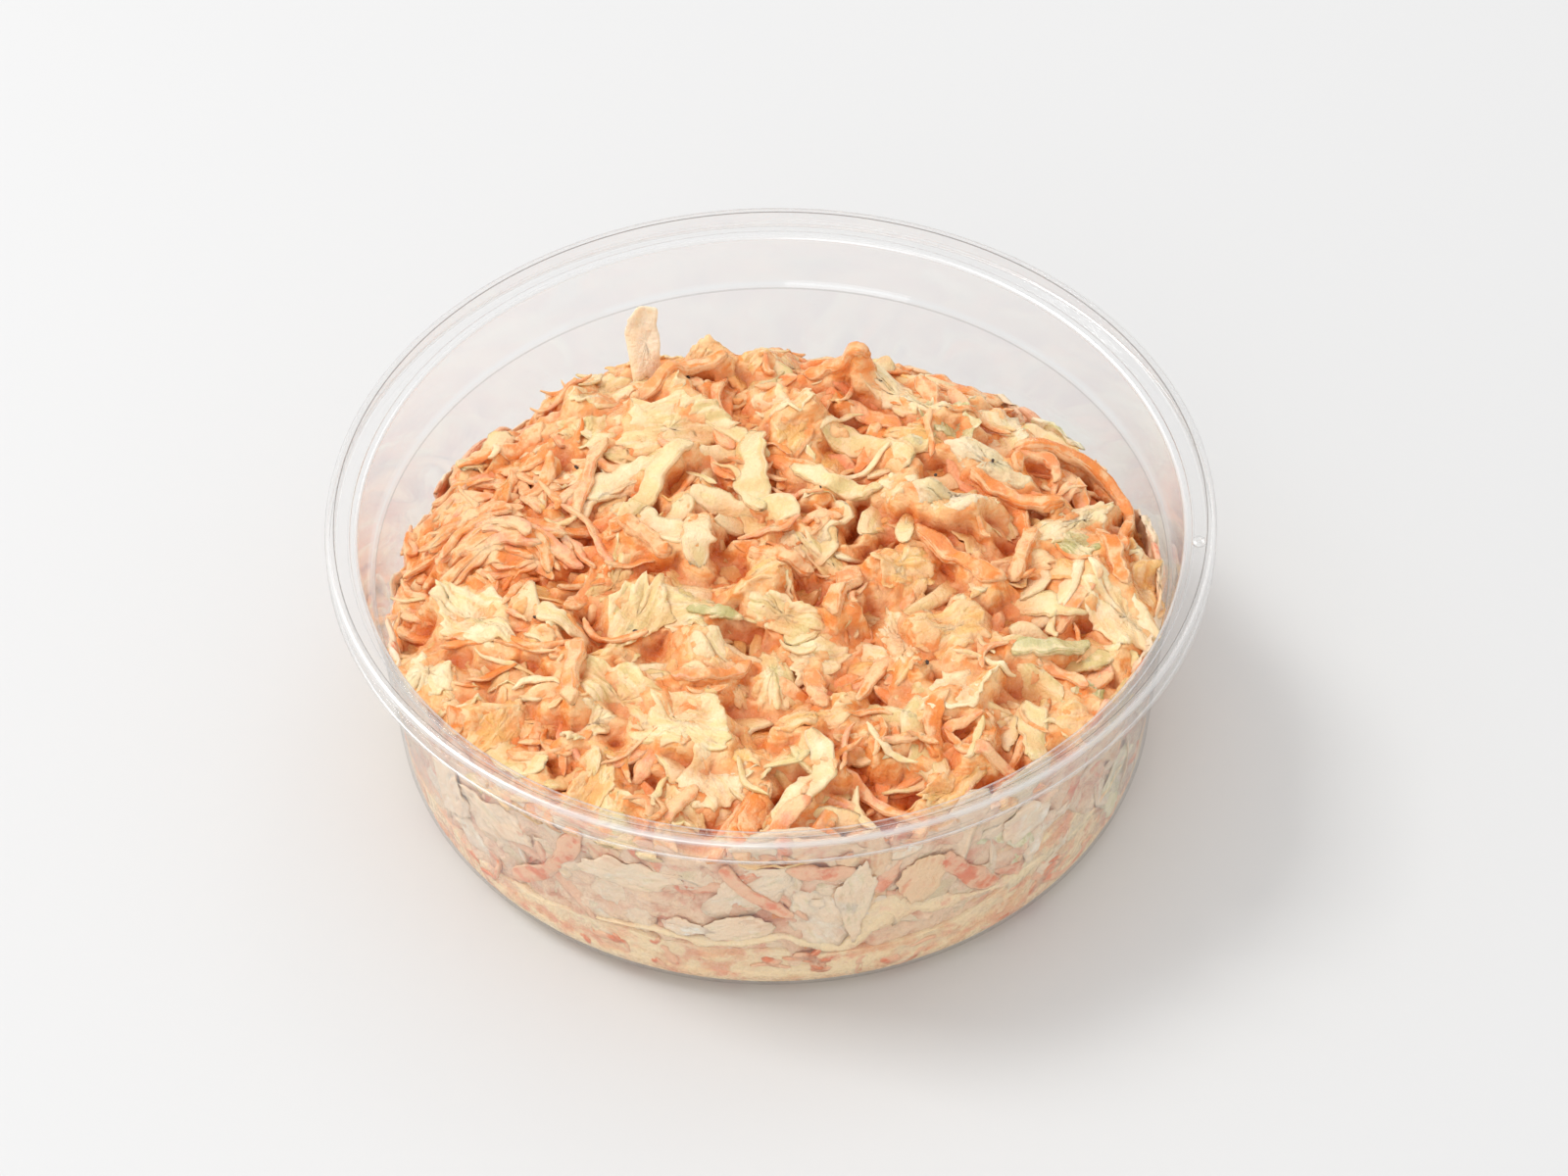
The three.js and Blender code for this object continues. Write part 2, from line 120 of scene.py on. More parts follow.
# ---------------------------------------------------------------- the food behind the wall
WALL_PIECES = 170
WALL_BITS = 70
WALL_LAYER = 2.6  # depth of the layer that shows through the wall
WALL_REACH = 52.0  # radius at which that layer is laid out flat
WALL_FOOD_LOWEST = 4.0  # pieces at the wall that reach lower are pressed up softly
WALL_BULGE = 0.6  # how far a piece may stand out of its layer, to be pressed flat by the wall
FILM_DEPTH = 1.3  # the core carries its milky finish down to this depth from the wall

# ---------------------------------------------------------------- the dressing's sizes
POOL_LEVEL = 6.5
POOL_EDGE = 9.3
POOL_RISE_START = 38.0
TONGUE_ANGLE = math.radians(-44)
TONGUE_RISE = 10.0
TONGUE_SPREAD = math.radians(8)
POOL_INTO_WALL = 0.12
POOL_INTO_BASE = 0.1
POOL_MESH = (240, 30, 40)  # sides, rings of the top, rows of the side
POOL_RECESS = 0.3  # how far the pool's side stands back where food lies at the wall

# ---------------------------------------------------------------- what the materials share
PET_INDEX = 1.5
CARROT_SCATTER = (1.0, 0.7, 0.5)
CABBAGE_SCATTER = (1.0, 0.85, 0.7)
DRESSING_SCATTER = (1.0, 0.8, 0.6)


def linear(hex_colour):
    """An sRGB hex colour as linear RGBA."""
    parts = [int(hex_colour[i : i + 2], 16) / 255 for i in (1, 3, 5)]
    return tuple(p / 12.92 if p <= 0.04045 else ((p + 0.055) / 1.055) ** 2.4 for p in parts) + (1.0,)


def per_mm(size):
    """The texture scale at which one feature is that many millimetres long, on coordinates in metres."""
    return 1 / (size * MM)


# ================================================================ forms that the part is built on
def inner_radius(height):
    """Inside radius of the cup's wall at a height."""
    height = np.asarray(height, float)
    fillet = FOOT_FILLET - WALL
    foot = BASE_RADIUS + np.sqrt(np.maximum(fillet**2 - np.clip(FOOT_FILLET - height, 0, fillet) ** 2, 0))
    foot_top = BASE_RADIUS + fillet
    step = STEP_RADIUS - WALL
    wall = foot_top + (step - foot_top) * (height - FOOT_FILLET) / (STEP_HEIGHT - FOOT_FILLET)
    above = step + STEP_OUT + (SEAT_RADIUS - step - STEP_OUT - WALL) * (height - STEP_HEIGHT - STEP_RISE) / (
        SEAT_HEIGHT - STEP_HEIGHT - STEP_RISE
    )
    out = np.where(height < FOOT_FILLET, foot, np.minimum(wall, step))
    return np.where(height > STEP_HEIGHT, np.clip(above, step, SEAT_RADIUS), out)


def smoothstep(x, start, end):
    t = np.clip((x - start) / (end - start), 0, 1)
    return t * t * (3 - 2 * t)


def pool_height(radius, angle):
    """Surface of the dressing: level under the salad, wavy where it climbs the wall."""
    off = (angle - TONGUE_ANGLE + math.pi) % (2 * math.pi) - math.pi
    edge = POOL_EDGE + 0.9 * np.sin(3 * angle + 0.6) + 0.6 * np.sin(7 * angle + 2.1)
    edge = edge + TONGUE_RISE * np.exp(-((off / TONGUE_SPREAD) ** 2))
    climb = smoothstep(radius, POOL_RISE_START, float(inner_radius(POOL_EDGE)) - 0.3)
    return POOL_LEVEL + (edge - POOL_LEVEL) * climb


def edge_level(angle):
    """Height at which the salad meets the wall: high in front, low behind."""
    return EDGE_LEVEL - EDGE_FRONT * np.sin(angle) + EDGE_RIGHT * np.cos(angle)


def mound_height(x, y):
    """Surface of the heap of salad."""
    radius = np.hypot(x, y)
    fall = np.minimum(radius / SHOULDER_RADIUS, 1) ** SHOULDER
    lumps = np.zeros_like(radius)
    for wave in range(6):
        heading = wave * GOLDEN_ANGLE
        across = x * math.cos(heading) + y * math.sin(heading)
        lumps += np.sin(2 * math.pi * across / (LUMP_LENGTH - 1.9 * wave) + 1.7 * wave)
    edge = edge_level(np.arctan2(y, x))
    return MOUND_TOP + (edge - MOUND_TOP) * fall + LUMP_HEIGHT * lumps * (1 - fall)


def laid_height(x, y):
    """The heap as it lies: from the right round the back to the left it slumps away from the wall."""
    angle = np.degrees(np.arctan2(y, x)) % 360
    much = SLUMP_BACK * smoothstep(angle, -5, 25) * (1 - smoothstep(angle, 95, 125))
    much = much + SLUMP_LEFT * smoothstep(angle, 110, 150) * (1 - smoothstep(angle, 190, 215))
    return mound_height(x, y) - much * smoothstep(np.hypot(x, y), *SLUMP_RADII)


def softly_below(values, limit, soft):
    """Values over a limit are pressed together, so that they pass it by less than that much."""
    return np.minimum(values, limit) + soft * (1 - np.exp(-np.maximum(values - limit, 0) / soft))


def keep_in_cup(points):
    """Presses points that would pass through the wall or the lid's plane softly back inside."""
    points = np.array(points, float)
    radius = np.hypot(points[:, 0], points[:, 1])
    pressed = softly_below(radius, inner_radius(points[:, 2]), WET_OVERLAP)
    points[:, :2] *= (pressed / np.maximum(radius, 1e-6))[:, None]
    points[:, 2] = softly_below(points[:, 2], FOOD_CEILING - CEILING_SOFTNESS, CEILING_SOFTNESS)
    return points


LATTICE = rng.normal(size=(32, 32, 32, 3))


def drift(points, size):
    """Smooth random vectors in space that change over that many millimetres."""
    place = points / size
    cell = np.floor(place).astype(int)
    share = place - cell
    share = share * share * (3 - 2 * share)
    out = np.zeros_like(place)
    for corner in range(8):
        step = np.array([corner & 1, corner >> 1 & 1, corner >> 2 & 1])
        weight = np.prod(np.where(step == 1, share, 1 - share), axis=-1)
        i, j, k = np.moveaxis((cell + step) % 32, -1, 0)
        out += weight[..., None] * LATTICE[i, j, k]
    return out


def shaggy(points, coarse=0.14, fine=0.06):
    """Food points moved a little, alike for neighbours, so that coated pieces share one uneven skin."""
    moved = points + coarse * drift(points, 2.1) + fine * drift(points + 40, 1.0)
    return keep_in_cup(moved)


# ================================================================ making meshes
def new_object(name, data):
    """A new object in the scene, with that mesh, lamp or camera."""
    made = bpy.data.objects.new(name, data)
    bpy.context.scene.collection.objects.link(made)
    return made


class Batch:
    """Closed pieces of one kind, gathered and then joined to one mesh.

    Each point carries the grain, its place along and across its own piece in millimetres, the
    rim, how near it is to an edge, and the tone: how pale the piece is, mostly from 0 to 1, or in
    the cup the painted light of each bend: a white gleam, with a minus a dark line."""

    def __init__(self, shade=0.6):
        self.points, self.quads, self.tris, self.grain, self.tone, self.rim = [], [], [], [], [], []
        self.shade = shade  # how pale this kind is, from 0, carrot, to 1, cabbage
        self.count = 0

    def add(self, points, quads, tris, grain=None, tone=0.5, rim=0.0):
        """Adds one piece. Its grain is moved on, so that no two pieces have the same pattern."""
        shifted = points * 0.0 if grain is None else np.array(grain, float)
        shifted[:, 2] += GRAIN_SHIFT * len(self.points)
        self.grain.append(shifted)
        self.points.append(points)
        self.quads.append(quads + self.count)
        self.tris.append(tris + self.count)
        self.tone.append(np.broadcast_to(tone, len(points)))
        self.rim.append(np.broadcast_to(rim, len(points)))
        self.count += len(points)

    def build(self, name, material, slot, *nodes, surface=None, film=None):
        """Joins the pieces to one object that rides on the part's body. With a surface given,
        each point also carries its depth under it, which the food's finish turns into painted shade
        between the pieces. A film is a second finish, and the depth from the wall down to which the faces
        carry it."""
        places = np.concatenate(self.points)
        quads = np.concatenate(self.quads).astype(np.int32)
        tris = np.concatenate(self.tris).astype(np.int32)
        mesh = bpy.data.meshes.new(name)
        mesh.vertices.add(len(places))
        mesh.vertices.foreach_set("co", (places * MM).astype(np.float32).ravel())
        mesh.loops.add(quads.size + tris.size)
        mesh.loops.foreach_set("vertex_index", np.concatenate([quads.ravel(), tris.ravel()]))
        mesh.polygons.add(len(quads) + len(tris))
        starts = np.concatenate([np.arange(len(quads)) * 4, quads.size + np.arange(len(tris)) * 3])
        mesh.polygons.foreach_set("loop_start", starts.astype(np.int32))
        mesh.update(calc_edges=True)
        mesh.polygons.foreach_set("use_smooth", np.ones(len(mesh.polygons), bool))
        grain = mesh.attributes.new("grain", "FLOAT_VECTOR", "POINT")
        grain.data.foreach_set("vector", np.concatenate(self.grain).astype(np.float32).ravel())
        numbers = {"tone": np.concatenate(self.tone), "rim": np.concatenate(self.rim)}
        from_wall = inner_radius(places[:, 2]) - np.hypot(places[:, 0], places[:, 1])
        if surface is not None:
            # the depth under the smoothed skin, faded out near the wall, is what the finishes turn into
            # painted shade
            under = np.clip(surface(places[:, 0], places[:, 1]) - places[:, 2], 0, FULL_SHADE_DEPTH)
            numbers["depth"] = under * smoothstep(from_wall, *SHADE_FADE_AT_WALL) / FULL_SHADE_DEPTH
        for kind, values in numbers.items():
            attribute = mesh.attributes.new(kind, "FLOAT", "POINT")
            attribute.data.foreach_set("value", values.astype(np.float32))
        made = new_object(name, mesh)
        mesh.materials.append(material)
        if film:
            finish, deep = film
            mesh.materials.append(finish)
            near = from_wall < deep
            faces = np.concatenate([near[quads].all(1), near[tris].all(1)])
            mesh.polygons.foreach_set("material_index", faces.astype(np.int32))
        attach(made, "root")
        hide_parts(*nodes)


def tube_faces(rings, sides):
    """Faces of a closed tube: one pole, rings of points, one pole."""
    ring, side = np.meshgrid(np.arange(rings - 1), np.arange(sides), indexing="ij")
    here = 1 + (ring * sides + side).ravel()
    beside = 1 + (ring * sides + (side + 1) % sides).ravel()
    quads = np.stack([here, beside, beside + sides, here + sides], 1)
    around = np.arange(sides)
    after = (around + 1) % sides
    last = 1 + (rings - 1) * sides
    start_cap = np.stack([np.zeros(sides, int), 1 + after, 1 + around], 1)
    end_cap = np.stack([np.full(sides, 1 + rings * sides), last + around, last + after], 1)
    return quads, np.concatenate([start_cap, end_cap])


FACES = {}


def faces_for(rings, sides):
    """Faces of a food piece, whose points run the other way round than a turned body's."""
    if (rings, sides) not in FACES:
        quads, tris = tube_faces(rings, sides)
        FACES[rings, sides] = quads[:, ::-1], tris[:, ::-1]
    return FACES[rings, sides]


def unit(vectors):
    return vectors / np.maximum(np.linalg.norm(vectors, axis=-1, keepdims=True), 1e-9)


def softened(values, times):
    """Values smoothed along the first axis."""
    for _ in range(times):
        padded = np.concatenate([values[:1], values, values[-1:]])
        values = (padded[:-2] + 2 * padded[1:-1] + padded[2:]) / 4
    return values


def softened_both_ways(values, times):
    """Values smoothed along both axes."""
    for _ in range(times):
        values = softened(softened(values, 1).T, 1).T
    return values


# ================================================================ laying pieces on one another
class Bed:
    """What a piece is laid on: a height field, and the way from its flat coordinates to the cup's.

    On the heap, the flat coordinates are x, y and z. On the wall they are the way round, the
    height, and the depth in front of the core."""

    def __init__(self, low, high, height, place):
        self.low = np.array(low, float)
        self.shape = tuple(int((h - l) / CELL) + 1 for l, h in zip(low, high))
        axes = [l + CELL * np.arange(n) for l, n in zip(low, self.shape)]
        self.a, self.b = np.meshgrid(*axes, indexing="ij")
        self.height = height(self.a, self.b)
        self.shade = np.full(self.a.shape, 0.6)
        self.place = place

    def at(self, a, b, values=None):
        """Height, or another value of the cells, at flat places, read between the cells."""
        i = np.clip((np.asarray(a) - self.low[0]) / CELL, 0, self.shape[0] - 1.001)
        j = np.clip((np.asarray(b) - self.low[1]) / CELL, 0, self.shape[1] - 1.001)
        i0, j0 = i.astype(int), j.astype(int)
        fi, fj = i - i0, j - j0
        h = self.height if values is None else values
        near = h[i0, j0] * (1 - fi) + h[i0 + 1, j0] * fi
        far = h[i0, j0 + 1] * (1 - fi) + h[i0 + 1, j0 + 1] * fi
        return near * (1 - fj) + far * fj

    def raise_to(self, a, b, top, reach, shade):
        """Adds what lies at these points: a rounded cap of that reach, its top and its shade."""
        cells = int(math.ceil(reach / CELL))
        di, dj = np.meshgrid(np.arange(-cells, cells + 1), np.arange(-cells, cells + 1), indexing="ij")
        inside = np.hypot(di, dj) * CELL <= reach
        di, dj = di[inside], dj[inside]
        drop = CAP_DROP * (np.hypot(di, dj) * CELL / reach) ** 2
        i = np.rint((a - self.low[0]) / CELL).astype(int)[:, None] + di
        j = np.rint((b - self.low[1]) / CELL).astype(int)[:, None] + dj
        ok = (i >= 0) & (j >= 0) & (i < self.shape[0]) & (j < self.shape[1])
        i, j, level = i[ok], j[ok], (top[:, None] - drop)[ok]
        np.maximum.at(self.height, (i, j), level)
        seen = level >= self.height[i, j]
        self.shade[i[seen], j[seen]] = shade


def shred(batch, bed, at, turn, length, width, thickness, bow=0.0, wiggle=0.3, sink=0.35, lift=(0, 0),
          ceiling=None, tone=None, sides=9, rings=26, arch=0.0, ragged=0.12, blunt=None):
    """One shred: a strip that follows what it lies on, with torn edges and ends.

    bow is how far its way turns, wiggle how it winds, lift how far its two ends rise, arch how far
    its middle does, sink how deep it presses in, and blunt how square its ends are."""
    s = np.linspace(-0.5, 0.5, rings)
    ends = np.abs(2 * s)
    phase = rng.uniform(0, 2 * math.pi, 3)
    heading = turn + bow * s + wiggle * np.sin(2 * math.pi * 1.1 * s + phase[0]) * 0.8
    step = length / (rings - 1)
    a = np.cumsum(np.cos(heading)) * step
    b = np.cumsum(np.sin(heading)) * step
    a, b = a - a.mean() + at[0], b - b.mean() + at[1]

    # it rests on the highest of what is under its middle and its two edges, and bends only softly
    side_a, side_b = -np.sin(heading) * width * 0.35, np.cos(heading) * width * 0.35
    under_edges = np.maximum(bed.at(a + side_a, b + side_b), bed.at(a - side_a, b - side_b))
    floor = np.maximum(bed.at(a, b), under_edges - 0.3)
    h = np.maximum(softened(floor, int(2 * (SHRED_STIFFNESS / step) ** 2)), floor - PRESS_IN)
    h = softened(h, 2) + thickness / 2 - sink
    h = h + lift[0] * np.clip(-2 * s, 0, 1) ** 2 + lift[1] * np.clip(2 * s, 0, 1) ** 2
    h = h + arch * (1 - ends**2)
    if ceiling is not None:
        h = np.minimum(h, ceiling - thickness / 2)

    blunt = rng.uniform(3, 12) if blunt is None else blunt
    taper = np.sqrt(np.clip(1 - ends**blunt, 0.06, 1))
    half_width = width / 2 * (1 + 0.1 * np.sin(2 * math.pi * 1.7 * s + phase[1])) * taper
    half_thick = thickness / 2 * (1 + 0.08 * np.sin(2 * math.pi * 2.3 * s + phase[2])) * np.sqrt(taper)
    edges = 1 + ragged * softened(rng.normal(size=(rings, 2)) * math.sqrt(rings / 9), 1 + rings // 14)
    middle = bed.place(a, b, h)
    up = unit(bed.place(a, b, h + 1) - middle)
    along = unit(np.gradient(middle, axis=0))
    across = unit(np.cross(along, up))
    above = np.cross(across, along)
    roll = SHRED_TWIST * (rng.uniform(-0.6, 0.6) + np.sin(2 * math.pi * 0.7 * s + phase[1]) * 0.7)

    # the section is a rounded oblong, uneven along both edges, frayed and cut askew at the ends
    theta = np.linspace(0, 2 * math.pi, sides, endpoint=False) + math.pi / sides
    flat_x, flat_y = (np.sign(side) * np.abs(side) ** 0.5 for side in (np.cos(theta), np.sin(theta)))
    skin = 1 + 0.4 * ragged * rng.normal(size=(rings, sides))
    x = flat_x * half_width[:, None] * np.where(flat_x > 0, edges[:, :1], edges[:, 1:])
    y = flat_y * half_thick[:, None] * skin
    end_share = np.clip((ends - 0.7) / 0.3, 0, 1)
    oblique = np.where(s < 0, rng.uniform(-1, 1), rng.uniform(-1, 1)) * end_share
    frayed = end_share[:, None] * rng.normal(size=(rings, sides)) * width * 0.05 + oblique[:, None] * x * 0.8
    cos_r, sin_r = np.cos(roll)[:, None], np.sin(roll)[:, None]
    x, y = x * cos_r - y * sin_r, x * sin_r + y * cos_r
    body = middle[:, None] + x[..., None] * across[:, None] + y[..., None] * above[:, None]
    body = body + frayed[..., None] * along[:, None]
    tips = [body[0].mean(0) - along[0] * 0.06 * width, body[-1].mean(0) + along[-1] * 0.06 * width]
    points = np.concatenate([tips[:1], body.reshape(-1, 3), tips[1:]])

    grain = np.zeros_like(points)
    grain[1:-1, 0] = np.repeat(s * length, sides)
    grain[1:-1, 1] = np.tile(np.sin(theta) * (width + thickness) / 2, rings)
    grain[0], grain[-1] = (-length / 2, 0, 0), (length / 2, 0, 0)
    rim = np.maximum(end_share[:, None] ** 2, np.abs(flat_x) ** 4).ravel()
    rim = np.concatenate([[1.0], rim, [1.0]])
    quads, tris = faces_for(rings, sides)
    batch.add(shaggy(points), quads, tris, grain, rng.uniform() if tone is None else tone, rim)
    bed.raise_to(a, b, h + thickness / 2, max(width * 0.42, CELL), batch.shade)


def torn_outline(sectors, corners, ragged):
    """Points round a torn piece: uneven corners with nearly straight, frayed sides between them."""
    turn = (np.arange(corners) + rng.uniform(-0.32, 0.32, corners)) * 2 * math.pi / corners
    reach = rng.uniform(0.72, 1.22, corners)
    corner = np.stack([reach * np.cos(turn), reach * np.sin(turn)], 1)
    closed = np.concatenate([corner, corner[:1]])
    run = np.concatenate([[0], np.cumsum(np.linalg.norm(np.diff(closed, axis=0), axis=1))])
    place = np.linspace(0, run[-1], sectors, endpoint=False)
    outline = np.stack([np.interp(place, run, closed[:, 0]), np.interp(place, run, closed[:, 1])], 1)
    for _ in range(max(sectors // 24, 1)):
        outline = (np.roll(outline, 1, 0) + 2 * outline + np.roll(outline, -1, 0)) / 4
    notches = rng.normal(size=sectors)
    notches = notches + np.roll(notches, 1) + 0.4 * rng.normal(size=sectors)
    return outline * (1.05 + 0.6 * ragged * notches)[:, None]


def leaf(batch, bed, at, turn, length, width, thickness, wave=0.6, ragged=0.1, sink=0.25, curl=(0, 0),
         ceiling=None, tone=None, sectors=42, rings=7, ribs=0.0, fold=0.0, corners=None, stiff=14):
    """One leaf piece: a thin wavy sheet with a torn outline, draped over what is under it.

    wave and ribs are the heights of its broad waves and fine ribs, fold how far both sides hang
    from its middle line, curl how far one side lifts and the way that side faces."""
    outline = torn_outline(sectors, int(rng.integers(4, 8)) if corners is None else corners, ragged)
    rho = np.linspace(1 / rings, 1, rings) ** 0.9
    u = rho[:, None] * outline[:, 0] * length / 2
    v = rho[:, None] * outline[:, 1] * width / 2
    theta = np.arctan2(outline[:, 1], outline[:, 0])
    cos_t, sin_t = math.cos(turn), math.sin(turn)
    a = at[0] + u * cos_t - v * sin_t
    b = at[1] + u * sin_t + v * cos_t
    floor = bed.at(a, b)
    h = floor.copy()
    for _ in range(stiff):
        inner = np.concatenate([np.full((1, sectors), h[0].mean()), h[:-1]])
        outer = np.concatenate([h[1:], h[-1:]])
        h = np.maximum(floor - PRESS_IN, (inner + outer + np.roll(h, 1, 1) + np.roll(h, -1, 1)) / 4)
    for _ in range(2):
        h = (h + (np.roll(h, 1, 1) + np.roll(h, -1, 1)) / 2) / 2

    phase = rng.uniform(0, 2 * math.pi, 4)
    size = max(length, width)
    turns = 2 * math.pi / size
    ripple = np.sin(turns * 1.6 * u + phase[0]) * np.cos(turns * 1.28 * v + phase[1])
    ripple = ripple + 0.5 * np.sin(turns * 2.7 * (u + v) + phase[2]) * rho[:, None]
    h = h + thickness / 2 - sink + wave * ripple * (0.35 + 0.65 * rho[:, None])
    h = h + ribs * np.sin(2 * math.pi * v * (1 + 0.5 * u / size) / RIB_SPACING + phase[3]) * rho[:, None]
    h = h + curl[0] * np.clip(np.cos(theta - curl[1]) * rho[:, None], 0, 1) ** 2 - fold * np.abs(v) / width
    centre_h = h[0].mean()
    if ceiling is not None:
        h = np.minimum(h, ceiling - thickness / 2)
        centre_h = min(centre_h, ceiling - thickness / 2)

    middle = bed.place(a.ravel(), b.ravel(), h.ravel()).reshape(rings, sectors, 3)
    pole = bed.place(np.array([at[0]]), np.array([at[1]]), np.array([centre_h]))[0]
    d_ring = np.gradient(np.concatenate([np.broadcast_to(pole, (1, sectors, 3)), middle]), axis=0)[1:]
    normal = unit(np.cross(d_ring, np.roll(middle, -1, 1) - np.roll(middle, 1, 1)))
    half = thickness / 2 * (1 - 0.35 * rho[:, None] ** 3) * (1 + 0.15 * rng.normal(size=(rings, sectors)))
    half[-1] *= 0.4
    top, bottom = (middle + side * normal * half[..., None] for side in (1, -1))
    pole_out = unit(normal[0].mean(0)) * thickness / 2
    body = [top.reshape(-1, 3), bottom[::-1].reshape(-1, 3)]
    points = np.concatenate([[pole + pole_out], *body, [pole - pole_out]])
    grain = np.zeros_like(points)
    flat = np.stack([u, v, np.zeros_like(u)], -1)
    grain[1:-1] = np.concatenate([flat.reshape(-1, 3), flat[::-1].reshape(-1, 3)])
    near_edge = np.repeat(rho**5, sectors)
    rim = np.concatenate([[0.0], near_edge, near_edge[::-1], [0.0]])
    quads, tris = faces_for(2 * rings, sectors)
    batch.add(shaggy(points), quads, tris, grain, rng.uniform() if tone is None else tone, rim)
    bed.raise_to(a.ravel(), b.ravel(), h.ravel() + thickness / 2, LEAF_REACH, batch.shade)


def scrap(batch, bed, at, size):
    """One small scrap: a torn flake, tilted a little, or a short thread."""
    turn = rng.uniform(0, 2 * math.pi)
    if rng.uniform() < 0.5:
        leaf(
            batch, bed, at, turn, size * rng.uniform(1.0, 1.8), size * rng.uniform(0.6, 1.0),
            rng.uniform(0.4, 0.7), wave=0.15, sink=0.3,
            curl=(rng.uniform(0, 1.1), rng.uniform(0, 2 * math.pi)), sectors=9, rings=2, stiff=4,
        )
    else:
        shred(
            batch, bed, at, turn, size * rng.uniform(1.6, 3.0), rng.uniform(0.6, 1.1), rng.uniform(0.4, 0.8),
            bow=rng.normal(), sink=0.15, sides=6, rings=8, lift=(0, rng.uniform(0, 0.8)),
        )


# ================================================================ materials
def node(tree, kind, inputs=None, stops=None, **settings):
    """Adds a node with its settings. inputs are numbers, colours or the sockets that feed it;
    stops are a ramp's places and colours."""
    made = tree.nodes.new(kind)
    for name, value in settings.items():
        setattr(made, name, value)
    for name, value in (inputs or {}).items():
        if isinstance(value, bpy.types.NodeSocket):
            tree.links.new(value, made.inputs[name])
        else:
            made.inputs[name].default_value = value
    if stops:
        elements = made.color_ramp.elements
        while len(elements) < len(stops):
            elements.new(0.5)
        for element, (place, colour) in zip(elements, stops):
            element.position = place
            element.color = colour
    return made


def maths(tree, operation, *values, **settings):
    """The result of a sum on numbers and sockets."""
    return node(tree, "ShaderNodeMath", dict(enumerate(values)), operation=operation, **settings).outputs[0]


def object_place(tree):
    """Where a point is, in metres, in the object's own space."""
    return node(tree, "ShaderNodeTexCoord").outputs["Object"]


def carried(tree, name, output="Fac"):
    """What the mesh's points carry under a name."""
    return node(tree, "ShaderNodeAttribute", attribute_name=name).outputs[output]


def noise(tree, place, size, detail=2.0, roughness=0.5):
    """Noise whose broadest features are that many millimetres long."""
    inputs = {"Vector": place, "Scale": per_mm(size), "Detail": detail, "Roughness": roughness}
    return node(tree, "ShaderNodeTexNoise", inputs).outputs["Fac"]


def eased(tree, value, start, end, most):
    """0 below start, rising smoothly to the most at end."""
    inputs = {"Value": value, "From Min": start, "From Max": end, "To Min": 0.0, "To Max": most}
    return node(tree, "ShaderNodeMapRange", inputs, interpolation_type="SMOOTHSTEP").outputs[0]


def ramp(tree, value, stops):
    """Colours over a value. stops are places and sRGB hex colours."""
    stops = [(place, linear(colour)) for place, colour in stops]
    return node(tree, "ShaderNodeValToRGB", {"Fac": value}, stops).outputs["Color"]


def blend(tree, share, colour, hex_colour):
    """A colour that turns to another by a share."""
    inputs = {0: share, 6: colour, 7: linear(hex_colour)}
    return node(tree, "ShaderNodeMix", inputs, data_type="RGBA").outputs[2]


def layered(tree, share, first, second):
    """One shader that turns to another by a share."""
    return node(tree, "ShaderNodeMixShader", {0: share, 1: first, 2: second}).outputs[0]


def blank_material(name):
    made = bpy.data.materials.new(name)
    made.use_nodes = True
    made.node_tree.nodes.clear()
    return made, made.node_tree


def surface_of(tree, shader):
    """Makes a shader the surface of its material."""
    node(tree, "ShaderNodeOutputMaterial", {"Surface": shader})


def clear_pet():
    """Clear PET sheet, thermoformed: colourless and glossy, so thin that it hardly bends what is
    behind it. Its blunt bends carry a painted white gleam and its sharpest ones a painted fine dark
    line, in place of what the bends reflect and refract. Lamps shine through it."""
    made, tree = blank_material("clear_pet_thermoformed")
    draw_marks = noise(tree, object_place(tree), 14, 1.5)
    wavy = node(tree, "ShaderNodeBump", {"Height": draw_marks, "Strength": 0.12, "Distance": 0.6 * MM})
    wavy = wavy.outputs["Normal"]
    side = node(tree, "ShaderNodeNewGeometry").outputs["Backfacing"]
    index = node(tree, "ShaderNodeMapRange", {"Value": side, "To Min": PET_INDEX, "To Max": 1 / PET_INDEX})
    share = node(tree, "ShaderNodeFresnel", {"IOR": index.outputs[0], "Normal": wavy}).outputs[0]
    clear = node(tree, "ShaderNodeBsdfTransparent", {"Color": linear("#FFFFFF")}).outputs[0]
    shine = node(tree, "ShaderNodeBsdfGlossy", {"Roughness": 0.05, "Normal": wavy}).outputs[0]
    # painted light on the bends, by the tone the profile gives them: a white matt sheet with a soft gloss
    # paints the gleam of blunt bends, a dark see-through layer paints the dark line of sharp ones
    bend = carried(tree, "tone")
    white = node(tree, "ShaderNodeBsdfDiffuse", {"Color": linear("#F8F5F1")}).outputs[0]
    gleam = node(tree, "ShaderNodeBsdfGlossy", {"Roughness": 0.3}).outputs[0]
    painted_gleam_share = maths(tree, "MULTIPLY", bend, 0.6, use_clamp=True)
    with_painted_gleam = layered(tree, painted_gleam_share, layered(tree, share, clear, shine), layered(tree, 0.75, white, gleam))
    edge = node(tree, "ShaderNodeBsdfTransparent", {"Color": linear("#6E5C50")}).outputs[0]
    painted_line_share = maths(tree, "MULTIPLY", bend, -0.7, use_clamp=True)
    seen = layered(tree, painted_line_share, with_painted_gleam, edge)
    through = node(tree, "ShaderNodeBsdfTransparent", {"Color": linear("#FCFCFB")}).outputs[0]
    path = node(tree, "ShaderNodeLightPath").outputs
    lamp_or_bounce = maths(tree, "MAXIMUM", path["Is Shadow Ray"], path["Is Diffuse Ray"])
    surface_of(tree, layered(tree, lamp_or_bounce, seen, through))
    return made


def grades(*colours, places=(0.2, 0.5, 0.8)):
    """A ramp's colours with their places."""
    return list(zip(places, colours))


